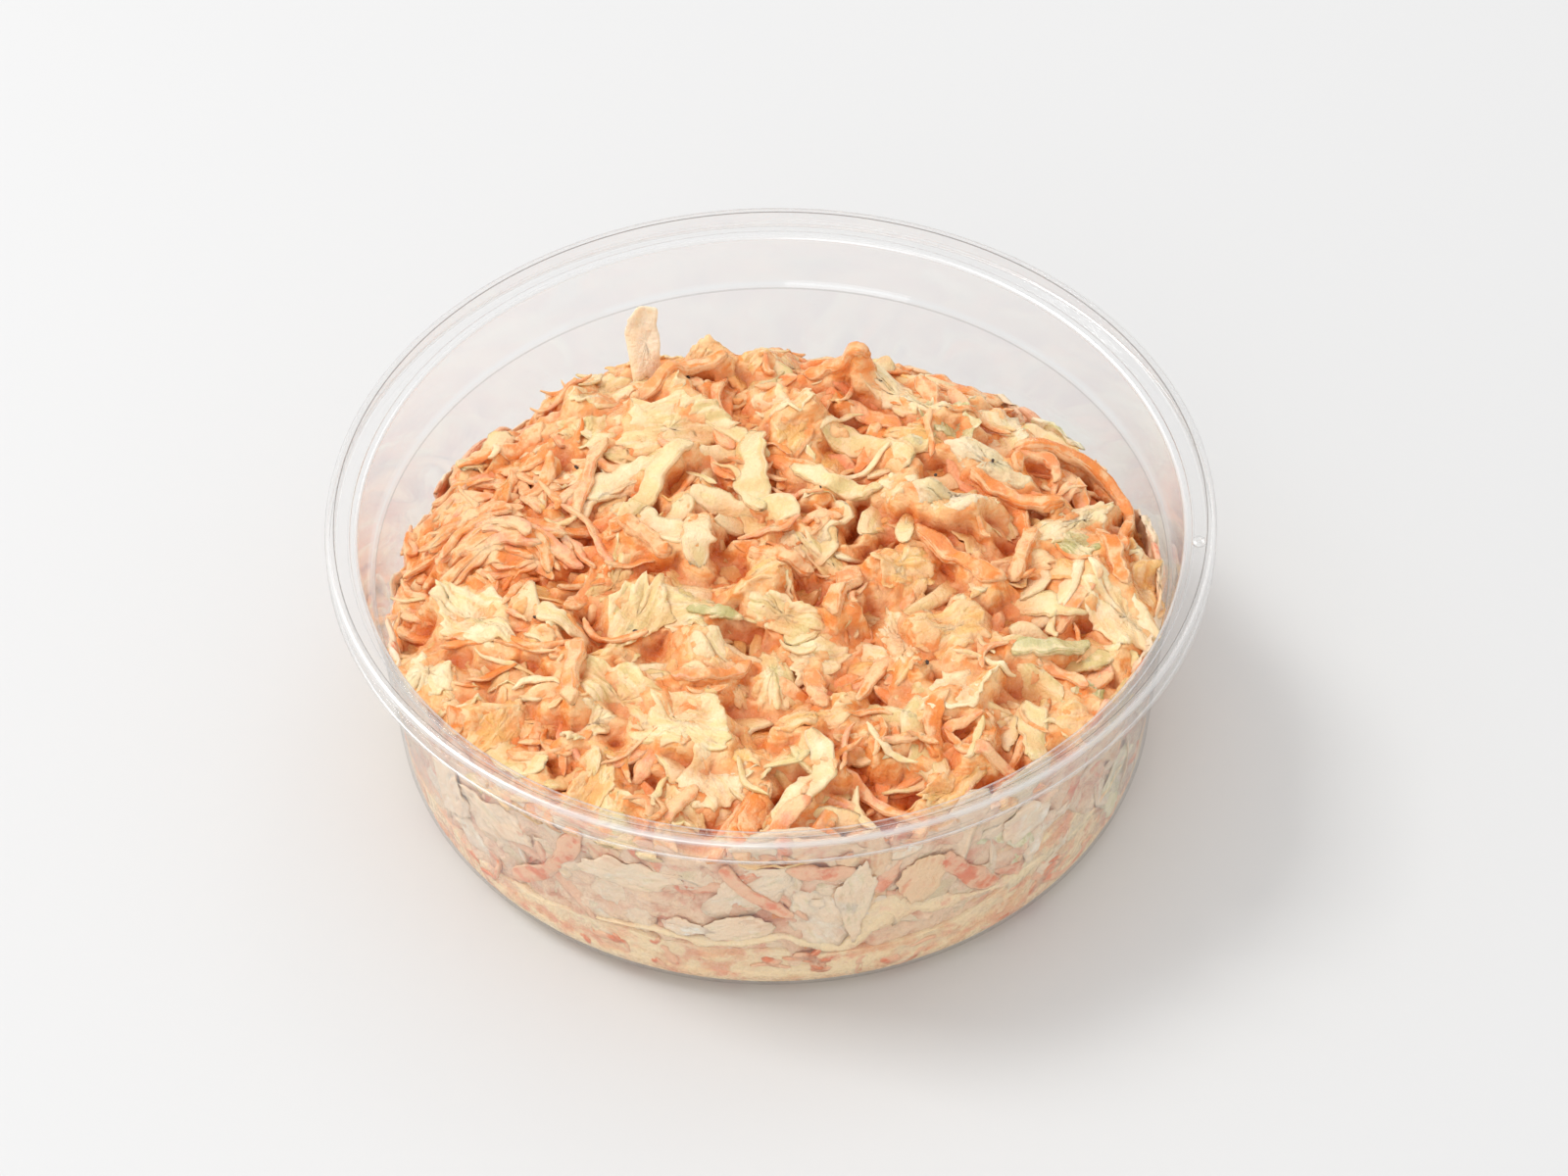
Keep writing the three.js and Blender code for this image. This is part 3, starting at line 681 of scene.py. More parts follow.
def coated_food(name, raw, stain, deep, coat, coat_at, scatter, fibre, roughness, fibre_bump=0.4):
    """A wet cut vegetable under a veil of dressing. Its raw colours run along the fibres and are
    stained by carrot juice here and there; the cream coats it in patches and gathers along the
    edges, where it is also a painted highlight on the thin edges; down between the pieces the
    cream thins and both turn to the deep colour, which is painted shade. coat_at is how high the veil's
    noise has to be for cream, and fibre how close the pattern is along, across and from piece to piece."""
    made, tree = blank_material(name)
    place = object_place(tree)
    depth = carried(tree, "depth")
    grain = {0: carried(tree, "grain", "Vector"), 1: fibre}
    grain = node(tree, "ShaderNodeVectorMath", grain, operation="MULTIPLY").outputs[0]
    fibres = noise(tree, grain, 1 / MM, 3.0)  # the grain is in millimetres already
    streaks = maths(tree, "MULTIPLY_ADD", fibres, 1.6, -0.55)
    own = ramp(tree, maths(tree, "MULTIPLY_ADD", carried(tree, "tone"), 0.55, streaks), raw)
    juice = eased(tree, noise(tree, place, 4.0), 0.42, 0.72, 0.7)
    stained = blend(tree, juice, own, stain)

    elsewhere = {0: place, 1: (0.05, 0.05, 0.05)}
    elsewhere = node(tree, "ShaderNodeVectorMath", elsewhere, operation="ADD").outputs[0]
    veil = noise(tree, elsewhere, 2.6, 4.0, 0.62)
    veil = maths(tree, "MULTIPLY_ADD", fibres, 0.6, veil)
    # more cream along the edges: dressing gathered there, and partly a painted highlight on the thin edges
    veil = maths(tree, "MULTIPLY_ADD", carried(tree, "rim"), 0.09, veil)
    # painted shade down between the pieces: with depth the cream thins and the colour turns to the deep one
    veil = maths(tree, "MULTIPLY_ADD", depth, -0.25, veil)
    cream = eased(tree, veil, coat_at - 0.1, coat_at + 0.1, 0.9)
    shade = maths(tree, "MINIMUM", maths(tree, "MULTIPLY", depth, 1.45), 0.92)
    colour = blend(tree, shade, blend(tree, cream, stained, coat), deep)

    small = noise(tree, place, 0.8, 4.0, 0.65)
    relief = maths(tree, "MULTIPLY", fibres, fibre_bump)
    relief = maths(tree, "MULTIPLY_ADD", small, 0.65, relief)
    relief = maths(tree, "MULTIPLY_ADD", cream, 0.12, relief)
    bump = node(tree, "ShaderNodeBump", {"Height": relief, "Strength": 1.0, "Distance": 0.55 * MM})
    gloss = {"From Min": 0.3, "From Max": 0.7, "To Min": roughness - 0.14, "To Max": roughness + 0.12}
    gloss = node(tree, "ShaderNodeMapRange", {"Value": small, **gloss})
    food = node(
        tree,
        "ShaderNodeBsdfPrincipled",
        {
            "Base Color": colour,
            "Roughness": gloss.outputs[0],
            "IOR": 1.4,
            "Subsurface Weight": 0.35,
            "Subsurface Radius": scatter,
            "Subsurface Scale": 0.4 * MM,
            "Normal": bump.outputs["Normal"],
        },
    )
    surface_of(tree, food.outputs[0])
    return made


# Each food's deep colour below is the painted shade that it takes down between the pieces.
def carrot():
    """Raw carrot, coarsely grated: orange, fibrous, wet, and pale peach where the dressing veils it."""
    return coated_food(
        "grated_carrot", grades("#EE8E42", "#F3A462", "#F5AE8A"), stain="#F0925A", deep="#DC6E2A",
        coat="#F8C896", coat_at=0.82, scatter=CARROT_SCATTER, fibre=(0.3, 1.9, 1.0), roughness=0.28,
    )


def cabbage():
    """White cabbage, shredded and torn: cream with a little yellow, half see-through, with fine ribs."""
    return coated_food(
        "torn_white_cabbage", grades("#DCC284", "#EFD69E", "#FBE6C0", places=(0.15, 0.5, 0.85)),
        stain="#F2C088", deep="#D88440", coat="#F8D6A8", coat_at=0.86, scatter=CABBAGE_SCATTER,
        fibre=(0.2, 1.3, 1.0), roughness=0.24,
    )


def stained_cabbage():
    """The same cabbage where dressing and carrot juice lie thick on it: peach and yellow."""
    return coated_food(
        "juice_stained_cabbage", grades("#EAB066", "#F4C47E", "#F9D8A6"), stain="#F0A264", deep="#D67836",
        coat="#F8CC98", coat_at=0.83, scatter=DRESSING_SCATTER, fibre=(0.2, 1.3, 1.0), roughness=0.26,
    )


BEHIND_FILM = {  # the raw colours of each kind, its stain and its coat, as they show through the film
    "carrot": (("#E68860", "#EE9C78", "#F4B696"), "#E47A5C", "#F2C29E"),
    "cabbage": (("#E0CAA2", "#F2DCBC", "#FCEEDC"), "#EEC0A0", "#F6D8B8"),
    "stained": (("#E6B07E", "#F0C498", "#F8D8B2"), "#EA9C7A", "#F4CEA6"),
    "green": (("#CEC68C", "#DCD6A4", "#ECE6C4"), "#E4D4A0", "#F6E8C8"),
}


def pressed(kind, raw, stain, coat):
    """The same food pressed to the wall: a film of dressing makes it milky and evens it out."""
    return coated_food(
        kind + "_behind_film", grades(*raw), stain, deep="#CC9470", coat=coat, coat_at=0.78,
        scatter=CABBAGE_SCATTER, fibre=(0.3, 1.2, 1.0), roughness=0.4, fibre_bump=0.3,
    )


def green_cabbage():
    """Outer cabbage leaf, torn: olive green at the edge, pale at the rib."""
    return coated_food(
        "torn_green_cabbage", grades("#B6AA6C", "#CCC088", "#E4D8AA"), stain="#DCC490", deep="#A87C44",
        coat="#F6DEB0", coat_at=0.88, scatter=(1.0, 0.85, 0.5), fibre=(0.3, 2.0, 1.0), roughness=0.3,
    )


def pale_slice():
    """A smooth pale rib of cabbage, sliced: ivory, wet, half see-through, hardly coated."""
    return coated_food(
        "sliced_cabbage_rib", grades("#E6CE9C", "#EFDAB0", "#F6E4C8", places=(0.15, 0.5, 0.85)),
        stain="#F2D0A8", deep="#D8985C", coat="#F8DFBE", coat_at=0.9, scatter=CABBAGE_SCATTER,
        fibre=(0.1, 0.4, 1.0), roughness=0.22, fibre_bump=0.12,
    )


def dressing():
    """Mayonnaise dressing, whisked: a cream emulsion, tinted by carrot juice, smooth and moist."""
    return coated_food(
        "whisked_dressing", grades("#EAAE84", "#F3CEA2", "#FAE2BE"), stain="#E69476", deep="#D88A5A",
        coat="#F8DCB2", coat_at=0.8, scatter=DRESSING_SCATTER, fibre=(0.15, 0.15, 0.35), roughness=0.28,
        fibre_bump=0.3,
    )


def smear_on_wall():
    """Dressing smeared thin inside the wall, with juice and scraps behind it: mottled, pinkish cream."""
    return coated_food(
        "smear_on_wall", grades("#DA9A78", "#E8B896", "#F4D4B6"), stain="#DE886A", deep="#C88460",
        coat="#F3D0AE", coat_at=0.8, scatter=CABBAGE_SCATTER, fibre=(0.2, 0.2, 0.4), roughness=0.3,
        fibre_bump=0.3,
    )


def smeared_mix():
    """What lies between the shreds: scraps of both under dressing, orange by carrot, cream by cabbage."""
    return coated_food(
        "smeared_mix", grades("#EC9046", "#F1A660", "#F5C48A", places=(0.25, 0.5, 0.8)), stain="#EE904E",
        deep="#C65A1C", coat="#F6C690", coat_at=0.83, scatter=CARROT_SCATTER, fibre=(0.4, 0.5, 1.0),
        roughness=0.28, fibre_bump=0.3,
    )


def black_pepper():
    """Cracked black pepper: nearly black, dull, rough."""
    made, tree = blank_material("cracked_black_pepper")
    cracks = noise(tree, object_place(tree), 0.4)
    colour = ramp(tree, cracks, [(0.4, "#2A1E18"), (0.7, "#4E3A2C")])
    husk = node(tree, "ShaderNodeBsdfPrincipled", {"Base Color": colour, "Roughness": 0.6})
    surface_of(tree, husk.outputs[0])
    return made


# ================================================================ the cup
def rounded(profile, radius):
    """A profile whose corners are turned to arcs, each of its own radius or else of the common one.
    The third value of each point is how strong a painted gleam the bend carries, or with a minus how strong
    a painted dark line."""
    out = [(*profile[0][:2], 0.0)]
    for before, here, after in zip(profile, profile[1:], profile[2:]):
        p, q, r = (np.array(c[:2], float) for c in (before, here, after))
        size = here[2] if len(here) > 2 else radius
        into, out_of = unit(p - q), unit(r - q)
        size = min(size, 0.7 * np.linalg.norm(p - q), 0.7 * np.linalg.norm(r - q))
        if not size:
            out.append((*q, 0.0))
            continue
        painted_bend_light = here[3] if len(here) > 3 else 0.0
        for t in np.linspace(0, 1, CORNER_STEPS + 1):
            place = q + into * size * (1 - t) ** 2 + out_of * size * t**2
            out.append((*place, painted_bend_light * math.sin(math.pi * t)))
    return out + [(*profile[-1][:2], 0.0)]


def foot_arc(radius):
    """Points of the foot's fillet, from the base's edge to the wall."""
    turn = np.linspace(0, math.pi / 2, FOOT_STEPS + 1)
    return [(BASE_RADIUS + radius * math.sin(t), FOOT_FILLET - radius * math.cos(t), 0.0) for t in turn]


def cup_profile():
    """The cup's section from the middle of the underside, up outside, over the rim and down inside.
    A corner is its place, then its radius and the bend's painted gleam, with a minus its painted dark line,
    where they aren't the usual."""
    ridge = [
        (SEAT_RIDGE_RADIUS + SEAT_RIDGE_HALF, SEAT_HEIGHT),
        (SEAT_RIDGE_RADIUS, SEAT_HEIGHT + SEAT_RIDGE),
        (SEAT_RIDGE_RADIUS - SEAT_RIDGE_HALF, SEAT_HEIGHT),
    ]
    outside = [
        (0, 0, 0.0),
        *foot_arc(FOOT_FILLET),
        (STEP_RADIUS, STEP_HEIGHT),
        (STEP_RADIUS + STEP_OUT, STEP_HEIGHT + STEP_RISE),
        (SEAT_RADIUS, SEAT_HEIGHT - WALL),
        (RIM_RADIUS - WALL, SEAT_HEIGHT - WALL, 0.12),
        (RIM_RADIUS - WALL, CUP_HEIGHT - SKIRT_DROP, 0.24, 1.0),
        (RIM_RADIUS, CUP_HEIGHT - SKIRT_DROP, 0.24, 1.0),
        (RIM_RADIUS, CUP_HEIGHT, 0.85, 1.0),
        (BEAD_INNER_RADIUS, CUP_HEIGHT, 0.16, -1.0),
        (BEAD_INNER_RADIUS, SEAT_HEIGHT, 0.3, 0.3),
    ]
    inside = [
        (SEAT_RADIUS - 0.4, SEAT_HEIGHT, 0.8, 1.0),
        (STEP_RADIUS + STEP_OUT - WALL, STEP_HEIGHT + STEP_RISE),
        (STEP_RADIUS - WALL, STEP_HEIGHT, 0.2, -0.35),
        *reversed(foot_arc(FOOT_FILLET - WALL)),
        (0, WALL, 0.0),
    ]
    return rounded([*outside, *ridge, *inside], CORNER_ROUND)


def turned(batch, profile, sides):
    """Turns a profile that starts and ends on the axis into a closed body."""
    radius, height, painted_bend_light = np.array(profile[1:-1]).T[..., None]
    angle = np.linspace(0, 2 * math.pi, sides, endpoint=False)
    rings = np.stack([radius * np.cos(angle), radius * np.sin(angle), height + 0 * angle], -1)
    points = np.concatenate([[(0, 0, profile[0][1])], rings.reshape(-1, 3), [(0, 0, profile[-1][1])]])
    # each bend's painted light, a gleam or with a minus a dark line, goes with its points as their tone
    gleam = np.concatenate([[0.0], np.repeat(painted_bend_light, sides), [0.0]])
    batch.add(points, *tube_faces(len(rings), sides), None, gleam)


def build_cup():
    """The cup, turned in one, with the small nub that stands on its lid seat."""
    batch, nub = Batch(), Batch()
    turned(batch, cup_profile(), CUP_SIDES)
    widest = max(r for r, _ in NUB_PROFILE)
    turned(nub, [(r * NUB_RADIUS / widest, z, NUB_PAINTED_GLEAM) for r, z in NUB_PROFILE], NUB_SIDES)
    batch.add(nub.points[0] + np.array(NUB_PLACE), nub.quads[0], nub.tris[0], None, nub.tone[0])
    batch.build("clear_cup", clear_pet(), "clear_plastic", "cup")


# ================================================================ the dressing under the salad
def round_body(batch, top, wall_radius, bottom, sides, rings, rows, crowded=False, rough=()):
    """A closed round body: its top is a height over radius and angle, its side a radius over height
    and angle. Crowded rings stand closer towards the wall."""
    angle = np.linspace(0, 2 * math.pi, sides, endpoint=False)
    edge = top(np.full(sides, 1e3), angle)
    share = np.linspace(1, 0, rows + 1)[1:, None]
    side_z = bottom + (edge - bottom) * share
    side_r = wall_radius(side_z, np.broadcast_to(angle, side_z.shape))
    ring = np.sqrt(np.linspace(0.0004, 1, rings)) if crowded else np.linspace(0.004, 1, rings)
    top_r = ring[:, None] * wall_radius(edge, angle)
    top_z = top(top_r, np.broadcast_to(angle, top_r.shape))
    radius = np.concatenate([top_r, side_r])
    body = np.stack([radius * np.cos(angle), radius * np.sin(angle), np.concatenate([top_z, side_z])], -1)
    points = np.concatenate([[(0, 0, float(top_z[0].mean()))], body.reshape(-1, 3), [(0, 0, bottom)]])
    quads, tris = tube_faces(len(radius), sides)
    batch.add(shaggy(points, *rough), quads[:, ::-1], tris[:, ::-1], points.copy())


CREST = [  # the thick line of dressing on the wall in front: angle in degrees, height
    (-118, 11.0), (-108, 12.3), (-101, 11.2), (-95, 12.0), (-89.4, 13.6), (-85.1, 10.8), (-80.6, 9.6),
    (-77.2, 12.6), (-74.3, 16.2), (-66.3, 14.4), (-60.3, 13.5), (-53.2, 11.4), (-47.0, 12.2),
    (-41.3, 11.5), (-34.1, 12.5), (-27, 14),
]
CREST_STEPS = 160
CREST_SIDES = 10
CREST_SINK = 0.3  # the line's middle lies this far in from the wall
CREST_FADE = 30  # steps over which each end thins out


def lay_crest(batch):
    """The crest line: a bead of dressing along the wall, of uneven width and fading ends."""
    angles = np.radians([a for a, _ in CREST])
    angle = np.linspace(angles[0], angles[-1], CREST_STEPS)
    height = softened(np.interp(angle, angles, [h for _, h in CREST]), 3)
    radius = inner_radius(height) - CREST_SINK
    middle = np.stack([radius * np.cos(angle), radius * np.sin(angle), height], 1)
    out = unit(middle * [1, 1, 0])
    across = unit(np.cross(unit(np.gradient(middle, axis=0)), out))
    swell = 0.6 + 0.9 * np.abs(drift(middle, 5.0)[:, 0]) + 0.2 * drift(middle, 1.5)[:, 1]
    fade = np.clip(np.arange(CREST_STEPS) / CREST_FADE, 0.05, 1)
    swell = swell * fade * fade[::-1]
    theta = np.linspace(0, 2 * math.pi, CREST_SIDES, endpoint=False)
    wide = (np.cos(theta) * swell[:, None])[..., None] * across[:, None]
    body = middle[:, None] + wide + 0.5 * np.sin(theta)[None, :, None] * out[:, None]
    points = np.concatenate([middle[:1], body.reshape(-1, 3), middle[-1:]])
    batch.add(shaggy(points), *faces_for(CREST_STEPS, CREST_SIDES), None, 1.0, 1.0)


def build_pool():
    """The dressing, level under the salad and wavy where it stands against the wall."""

    def surface(radius, angle):
        fine = 0.25 * np.sin(19 * angle + 1.3) + 0.18 * np.sin(31 * angle + 0.4) + 0.3 * np.sin(11 * angle)
        return pool_height(radius, angle) + fine * smoothstep(radius, 44, 51)

    def side(height, angle):
        """Reaches into the wall, but leaves the upper part to the food here and there."""
        places = np.stack([52 * np.cos(angle), 52 * np.sin(angle), np.broadcast_to(height, angle.shape)], -1)
        bare = smoothstep(drift(places, 4.5)[..., 0] + 0.35 * drift(places, 1.6)[..., 1], -0.5, 0.5)
        return inner_radius(height) + POOL_INTO_WALL - POOL_RECESS * bare * smoothstep(height, 3.5, 8.0)

    batch = Batch()
    round_body(batch, surface, side, WALL - POOL_INTO_BASE, *POOL_MESH, crowded=True, rough=(0, 0))
    lay_crest(batch)
    batch.build("dressing_pool", dressing(), "creamy_dressing", "dressing")


# ================================================================ the salad
HOLLOWS = [  # gaps that stay open down into the heap: x, y, radius
    (26.2, 1.7, 1.8), (22.4, 1.5, 1.4), (-2.1, 24.7, 1.7), (26.6, -40.4, 2.3), (32.7, -16.3, 1.6),
    (-8.7, -31.0, 2.0), (8.3, -48.0, 1.6), (-25.4, -1.3, 2.2), (13.8, -46.9, 2.4), (41.5, -12.6, 1.9),
    (-24.2, -18.9, 1.5), (0.8, -43.8, 1.8), (33.0, -37.5, 1.8), (33.0, -6.1, 2.0), (-23.7, 3.7, 2.2),
    (35.7, 7.1, 2.0), (18.2, -43.3, 2.0), (-23.0, -30.3, 2.0), (-11.0, -37.7, 1.6), (38.9, -21.2, 2.0),
    (2.5, -23.8, 2.0), (18.0, -1.8, 1.5), (15.6, 19.5, 2.0), (-28.6, -3.7, 2.2), (9.7, -36.7, 2.0),
    (-29.5, -30.9, 1.5), (20.4, -8.2, 1.5), (-11.2, 13.8, 1.8), (-16.3, -39.0, 1.8), (-25.0, -11.5, 1.6),
    (9.1, 8.5, 1.4), (-9.7, -45.8, 2.2), (-33.0, 17.0, 1.8), (3.0, 38.0, 1.6), (-44.0, -24.0, 1.5),
    (29.0, 24.0, 1.7),
]
HOLLOW_DEPTH = 1.6
CLUSTER = (-37.0, -5.0)  # carrot lies curled round this place
CLUSTER_SHREDS = 18

# Pieces that stand out, laid last. The way a piece points is in degrees from +x towards +y.
CHOSEN_SHREDS = [  # kind, x, y, way, length, width, thickness, bow, arch, how pale
    ("carrot", -12.1, 33.5, 30, 15, 2.2, 1.6, 0.1, 0.3, 0.5),
    ("carrot", 9.6, 33.3, -5, 9, 1.9, 1.3, -0.3, 0.3, 0.3),
    ("cabbage", -2.0, 14.2, -86, 15, 4.4, 0.9, 0.6, 0.3, 0.4),
    ("carrot", 32.8, 9.6, -24, 14, 2.2, 1.6, 0.8, 0.6, 0.2),
    ("carrot", -17.4, 0.2, -38, 10, 2.3, 1.6, 0.3, 0.4, 0.3),
    ("carrot", -26.2, -23.1, -95, 12, 2.4, 1.5, 0.1, 0.3, 0.6),
    ("carrot", 1.1, -4.0, -26, 9, 2.2, 1.5, 0.4, 0.4, 0.1),
    ("carrot", 9.3, -9.5, -108, 10, 3.0, 1.5, 0.2, 0.3, 0.5),
    ("carrot", 5.5, -25.7, -80, 7, 2.6, 1.4, 0.0, 0.3, 0.5),
    ("carrot", -7.6, -23.4, 20, 12, 1.7, 1.2, 1.5, 0.3, 0.6),
    ("carrot", 24.5, -2.8, -42, 15, 2.6, 1.5, 0.3, 0.5, 0.4),
    ("carrot", 33.5, -2.0, -110, 10, 2.2, 1.4, -0.2, 0.5, 0.4),
    ("carrot", 45.5, -1.5, -75, 12, 2.4, 1.5, -0.4, 0.4, 0.3),
    ("cabbage", 8.7, 11.4, -26, 13, 2.8, 1.0, 0.3, 0.5, 0.3),
    ("cabbage", -15.6, 11.6, 55, 16.8, 3.0, 1.1, -0.15, 0.7, 0.6),
    ("cabbage", -10.0, -0.1, -88, 9.5, 3.8, 1.1, 0.3, 0.8, 0.9),
    ("green", 36.5, -19.2, 13, 10.4, 2.7, 1.2, 0.1, 0.6, 0.5),
    ("green", -7.6, -12.7, -13, 7.6, 1.5, 1.0, 0.2, 0.4, 0.3),
    ("carrot", 36.2, 16.4, 0, 11, 1.7, 1.4, -4.4, 0.8, 0.6),
    ("carrot", 43.5, 15.0, -43, 26, 1.9, 1.5, -2.5, 2.2, 0.2),
]
CHOSEN_LEAVES = [
    # kind, x, y, way, length, width, thickness, fold, how far one side lifts and where that is, how pale
    ("leaf", -13.7, 23.5, 6, 20, 9, 0.8, 0.8, 1.5, 90, 0.5),
    ("stained", -9.5, 37.5, 10, 8, 6, 1.6, -1.5, 2.5, 90, 0.4),
    ("leaf", 18.0, 29.5, 141, 14, 5.5, 0.8, 1.0, 5.0, 141, 0.8),
    ("leaf", -39.7, -8.9, -41, 15.3, 10, 0.9, 0.8, 1.0, 150, 0.8),
    ("leaf", -45.4, -17.6, -56, 9, 6, 0.8, 0.4, 0.8, 150, 0.9),
    ("leaf", -20.0, -26.5, -48, 15, 8.5, 0.8, 1.5, 2.0, 60, 0.3),
    ("leaf", -12.0, -32.0, -25, 14, 9.5, 0.8, 1.2, 2.4, 20, 0.55),
    ("leaf", -23.5, -30.5, 25, 9, 4.5, 0.8, 1.0, 1.4, 200, 0.8),
    ("leaf", 1.3, -13.2, -25, 12, 5.5, 0.8, 0.5, 1.4, 60, 0.2),
    ("stained", 5.0, -30.1, 9, 12, 7, 0.9, 0.3, 1.6, -90, 0.8),
    ("stained", -2.5, -7.5, 15, 12, 6, 0.8, 0.5, 1.5, -60, 0.6),
    ("leaf", 17.0, -17.0, 100, 11, 7.5, 0.8, 0.5, 1.5, 20, 0.9),
    ("stained", 24.0, -16.0, 30, 13, 9, 0.9, 0.2, 1.2, 90, 0.7),
    ("green", 40.0, 1.0, -50, 9, 4.5, 0.9, 0.4, 0.8, 0, 0.3),
    ("leaf", 41.5, 6.0, 40, 15, 6, 0.8, 1.2, 1.5, 40, 0.7),
    ("leaf", 46.5, -12.0, -70, 15, 9, 0.9, -0.4, 2.2, 0, 0.9),
    ("leaf", 17.6, 8.6, 20, 7, 6.5, 1.8, -1.5, 0.0, 0, 0.8),
    ("slice", 23.8, 5.8, 3, 9.5, 4.6, 2.0, 0.0, 1.2, -90, 0.1),
    ("slice", 29.2, 15.0, -24, 11, 5.0, 1.6, 0.3, 0.6, 90, 0.5),
]
SMOOTH_OVALS = [(23.8, 5.8), (29.2, 15.0), (40.0, 1.0)]  # the chosen leaves at these places
UPRIGHT_PLACE = (-16.8, 37.4)
WALL_CHOSEN = [  # kind, angle in degrees, height, way, length, width, how pale; seen from outside, 90 is up
    ("leaf", -147, 17.5, 60, 14, 9.5, 0.9),
    ("leaf", -134, 22, -20, 13, 9, 0.7),
    ("leaf", -112, 23, 12, 17, 9, 0.6),
    ("leaf", -79.5, 20, 88, 17, 6.5, 0.5),
    ("stained", -69, 22, 75, 11, 7, 0.6),
    ("leaf", -52, 24, 10, 9, 7, 1.0),
    ("leaf", -96, 15, 20, 12, 6, 0.5),
    ("carrot", -125, 19, 54, 22, 3.0, 0.5),
    ("carrot", -93.4, 22.7, -50, 14, 2.0, 0.7),
    ("carrot", -61.5, 18.7, -52, 14, 3.0, 0.3),
    ("carrot", -84, 27, -10, 9, 2.8, 0.6),
    ("leaf", -103.9, 14.4, 5, 8, 3.2, 1.2),
]
PEPPER = [
    (6.8, 10.4), (-10.8, 32.9), (22.2, 8.0), (30.1, 14.8), (-26.0, 18.0), (-18.0, -15.0), (20.0, -23.0),
    (-31.0, -12.0),
]


def hollow_at(x, y):
    """How far a hollow reaches down at a place, from 0 to 1."""
    deep = np.zeros(np.shape(x))
    for hx, hy, radius in HOLLOWS:
        off = ((np.asarray(x) - hx) ** 2 + (np.asarray(y) - hy) ** 2) / (0.7 * radius) ** 2
        deep = np.maximum(deep, np.exp(-(off**2)))
    return deep


CARROT_PLACES = [  # where carrot gathers: x, y, spread, how much
    (-40, 5, 12, 0.9),
    (-22, 33, 14, 0.5),
    (-30, -4, 8, 0.5),
    (6, 20, 11, 0.4),
    (40, 14, 10, 0.4),
    (12, -18, 9, 0.6),
    (-12, -36, 8, 0.4),
    (12, -42, 9, 0.5),
    (30, -36, 8, 0.3),
    (-4, 18, 7, -0.6),
    (-12, 8, 9, -0.6),
    (19, 6, 6, -0.6),
    (-10, -12, 9, -0.5),
    (24, -14, 8, -0.6),
    (3, -30, 8, -0.5),
    (-38, -14, 8, -0.5),
    (-30, -27, 7, -0.3),
]
BASE_CARROT_SHARE = 0.36


def carrot_share(x, y):
    """How much of what lies at a place is carrot, from 0 to 1."""
    share = BASE_CARROT_SHARE
    for px, py, spread, much in CARROT_PLACES:
        share += much * math.exp(-((x - px) ** 2 + (y - py) ** 2) / (2 * spread**2))
    return min(max(share, 0.08), 0.92)


COARSE_STRIP = {"sides": 7, "rings": 16}
FINE_STRIP = {"sides": 10, "rings": 32}
COARSE_SHEET = {"sectors": 28, "rings": 5, "stiff": 10}
FINE_SHEET = {"sectors": 56, "rings": 9, "stiff": 24}
CHOSEN_STRIP = {"sides": 12, "rings": 44, "blunt": 8}
CHOSEN_SHEET = {"sectors": 64, "rings": 10, "stiff": 26}


def best_place(bed, target, pick_place, avoid):
    """Of a few places tried, the one that lacks most height and where a piece covers no hollow, and
    the way that the piece lies there."""
    best = -math.inf
    along = np.linspace(-6, 6, 9)
    for _ in range(PLACES_TRIED):
        tried = pick_place()
        lie = drift(np.array([[*tried, 0.0]]), 15.0)[0, 0] * 2.4 + rng.normal() * 0.8
        need = float(target(*tried)) - float(bed.at(*tried))
        if avoid is not None:
            covered = avoid(tried[0] + along * math.cos(lie), tried[1] + along * math.sin(lie))
            need -= 4 * float(covered.sum())
        if need > best:
            best, at, turn = need, tried, lie
    return at, turn


def lay_mixed(bed, target, batches, pick_place, count, ceiling=None, size=1.0, lift=1.0, leafy=0.6,
              fine=False, avoid=None):
    """Lays shreds and leaves one after another. leafy is the share of leaves in what isn't carrot."""
    strip = {"ceiling": ceiling, **(FINE_STRIP if fine else COARSE_STRIP)}
    sheet = {"ceiling": ceiling, **(FINE_SHEET if fine else COARSE_SHEET)}
    for _ in range(count):
        at, turn = best_place(bed, target, pick_place, avoid)
        ends = [rng.uniform(0.4, 2.2) * lift if rng.uniform() < 0.25 else 0 for _ in range(2)]
        draw = rng.uniform()
        share = carrot_share(*at) * 0.85 if ceiling is None else BASE_CARROT_SHARE
        if draw < share:
            shred(
                batches["carrot"], bed, at, turn, rng.uniform(8, 17) * size, rng.uniform(1.5, 2.9),
                rng.uniform(0.6, 1.0), bow=rng.normal() * 0.9, wiggle=rng.uniform(0.1, 0.4), lift=ends,
                blunt=rng.uniform(2.2, 7), **strip,
            )
        elif draw < share + (1 - share) * (1 - leafy):
            shred(
                batches["cabbage"], bed, at, turn, rng.uniform(8, 17) * size, rng.uniform(2.4, 4.8),
                rng.uniform(0.5, 0.85), bow=rng.normal() * 0.7, wiggle=rng.uniform(0.1, 0.4), lift=ends,
                blunt=rng.uniform(3.2, 10), **strip,
            )
        else:
            curl = (rng.uniform(0.6, 3.0) * lift if rng.uniform() < 0.6 else 0, rng.uniform(0, 2 * math.pi))
            kind = rng.choice(["leaf", "stained", "green"], p=[0.49, 0.48, 0.03])
            leaf(
                batches[kind], bed, at, turn, rng.uniform(8, 15) * size, rng.uniform(5, 9) * size,
                rng.uniform(0.45, 0.8), wave=rng.uniform(0.2, 0.7), curl=curl, ribs=rng.uniform(0, 0.22),
                fold=rng.uniform(-1.5, 3.0) * lift, **sheet,
            )


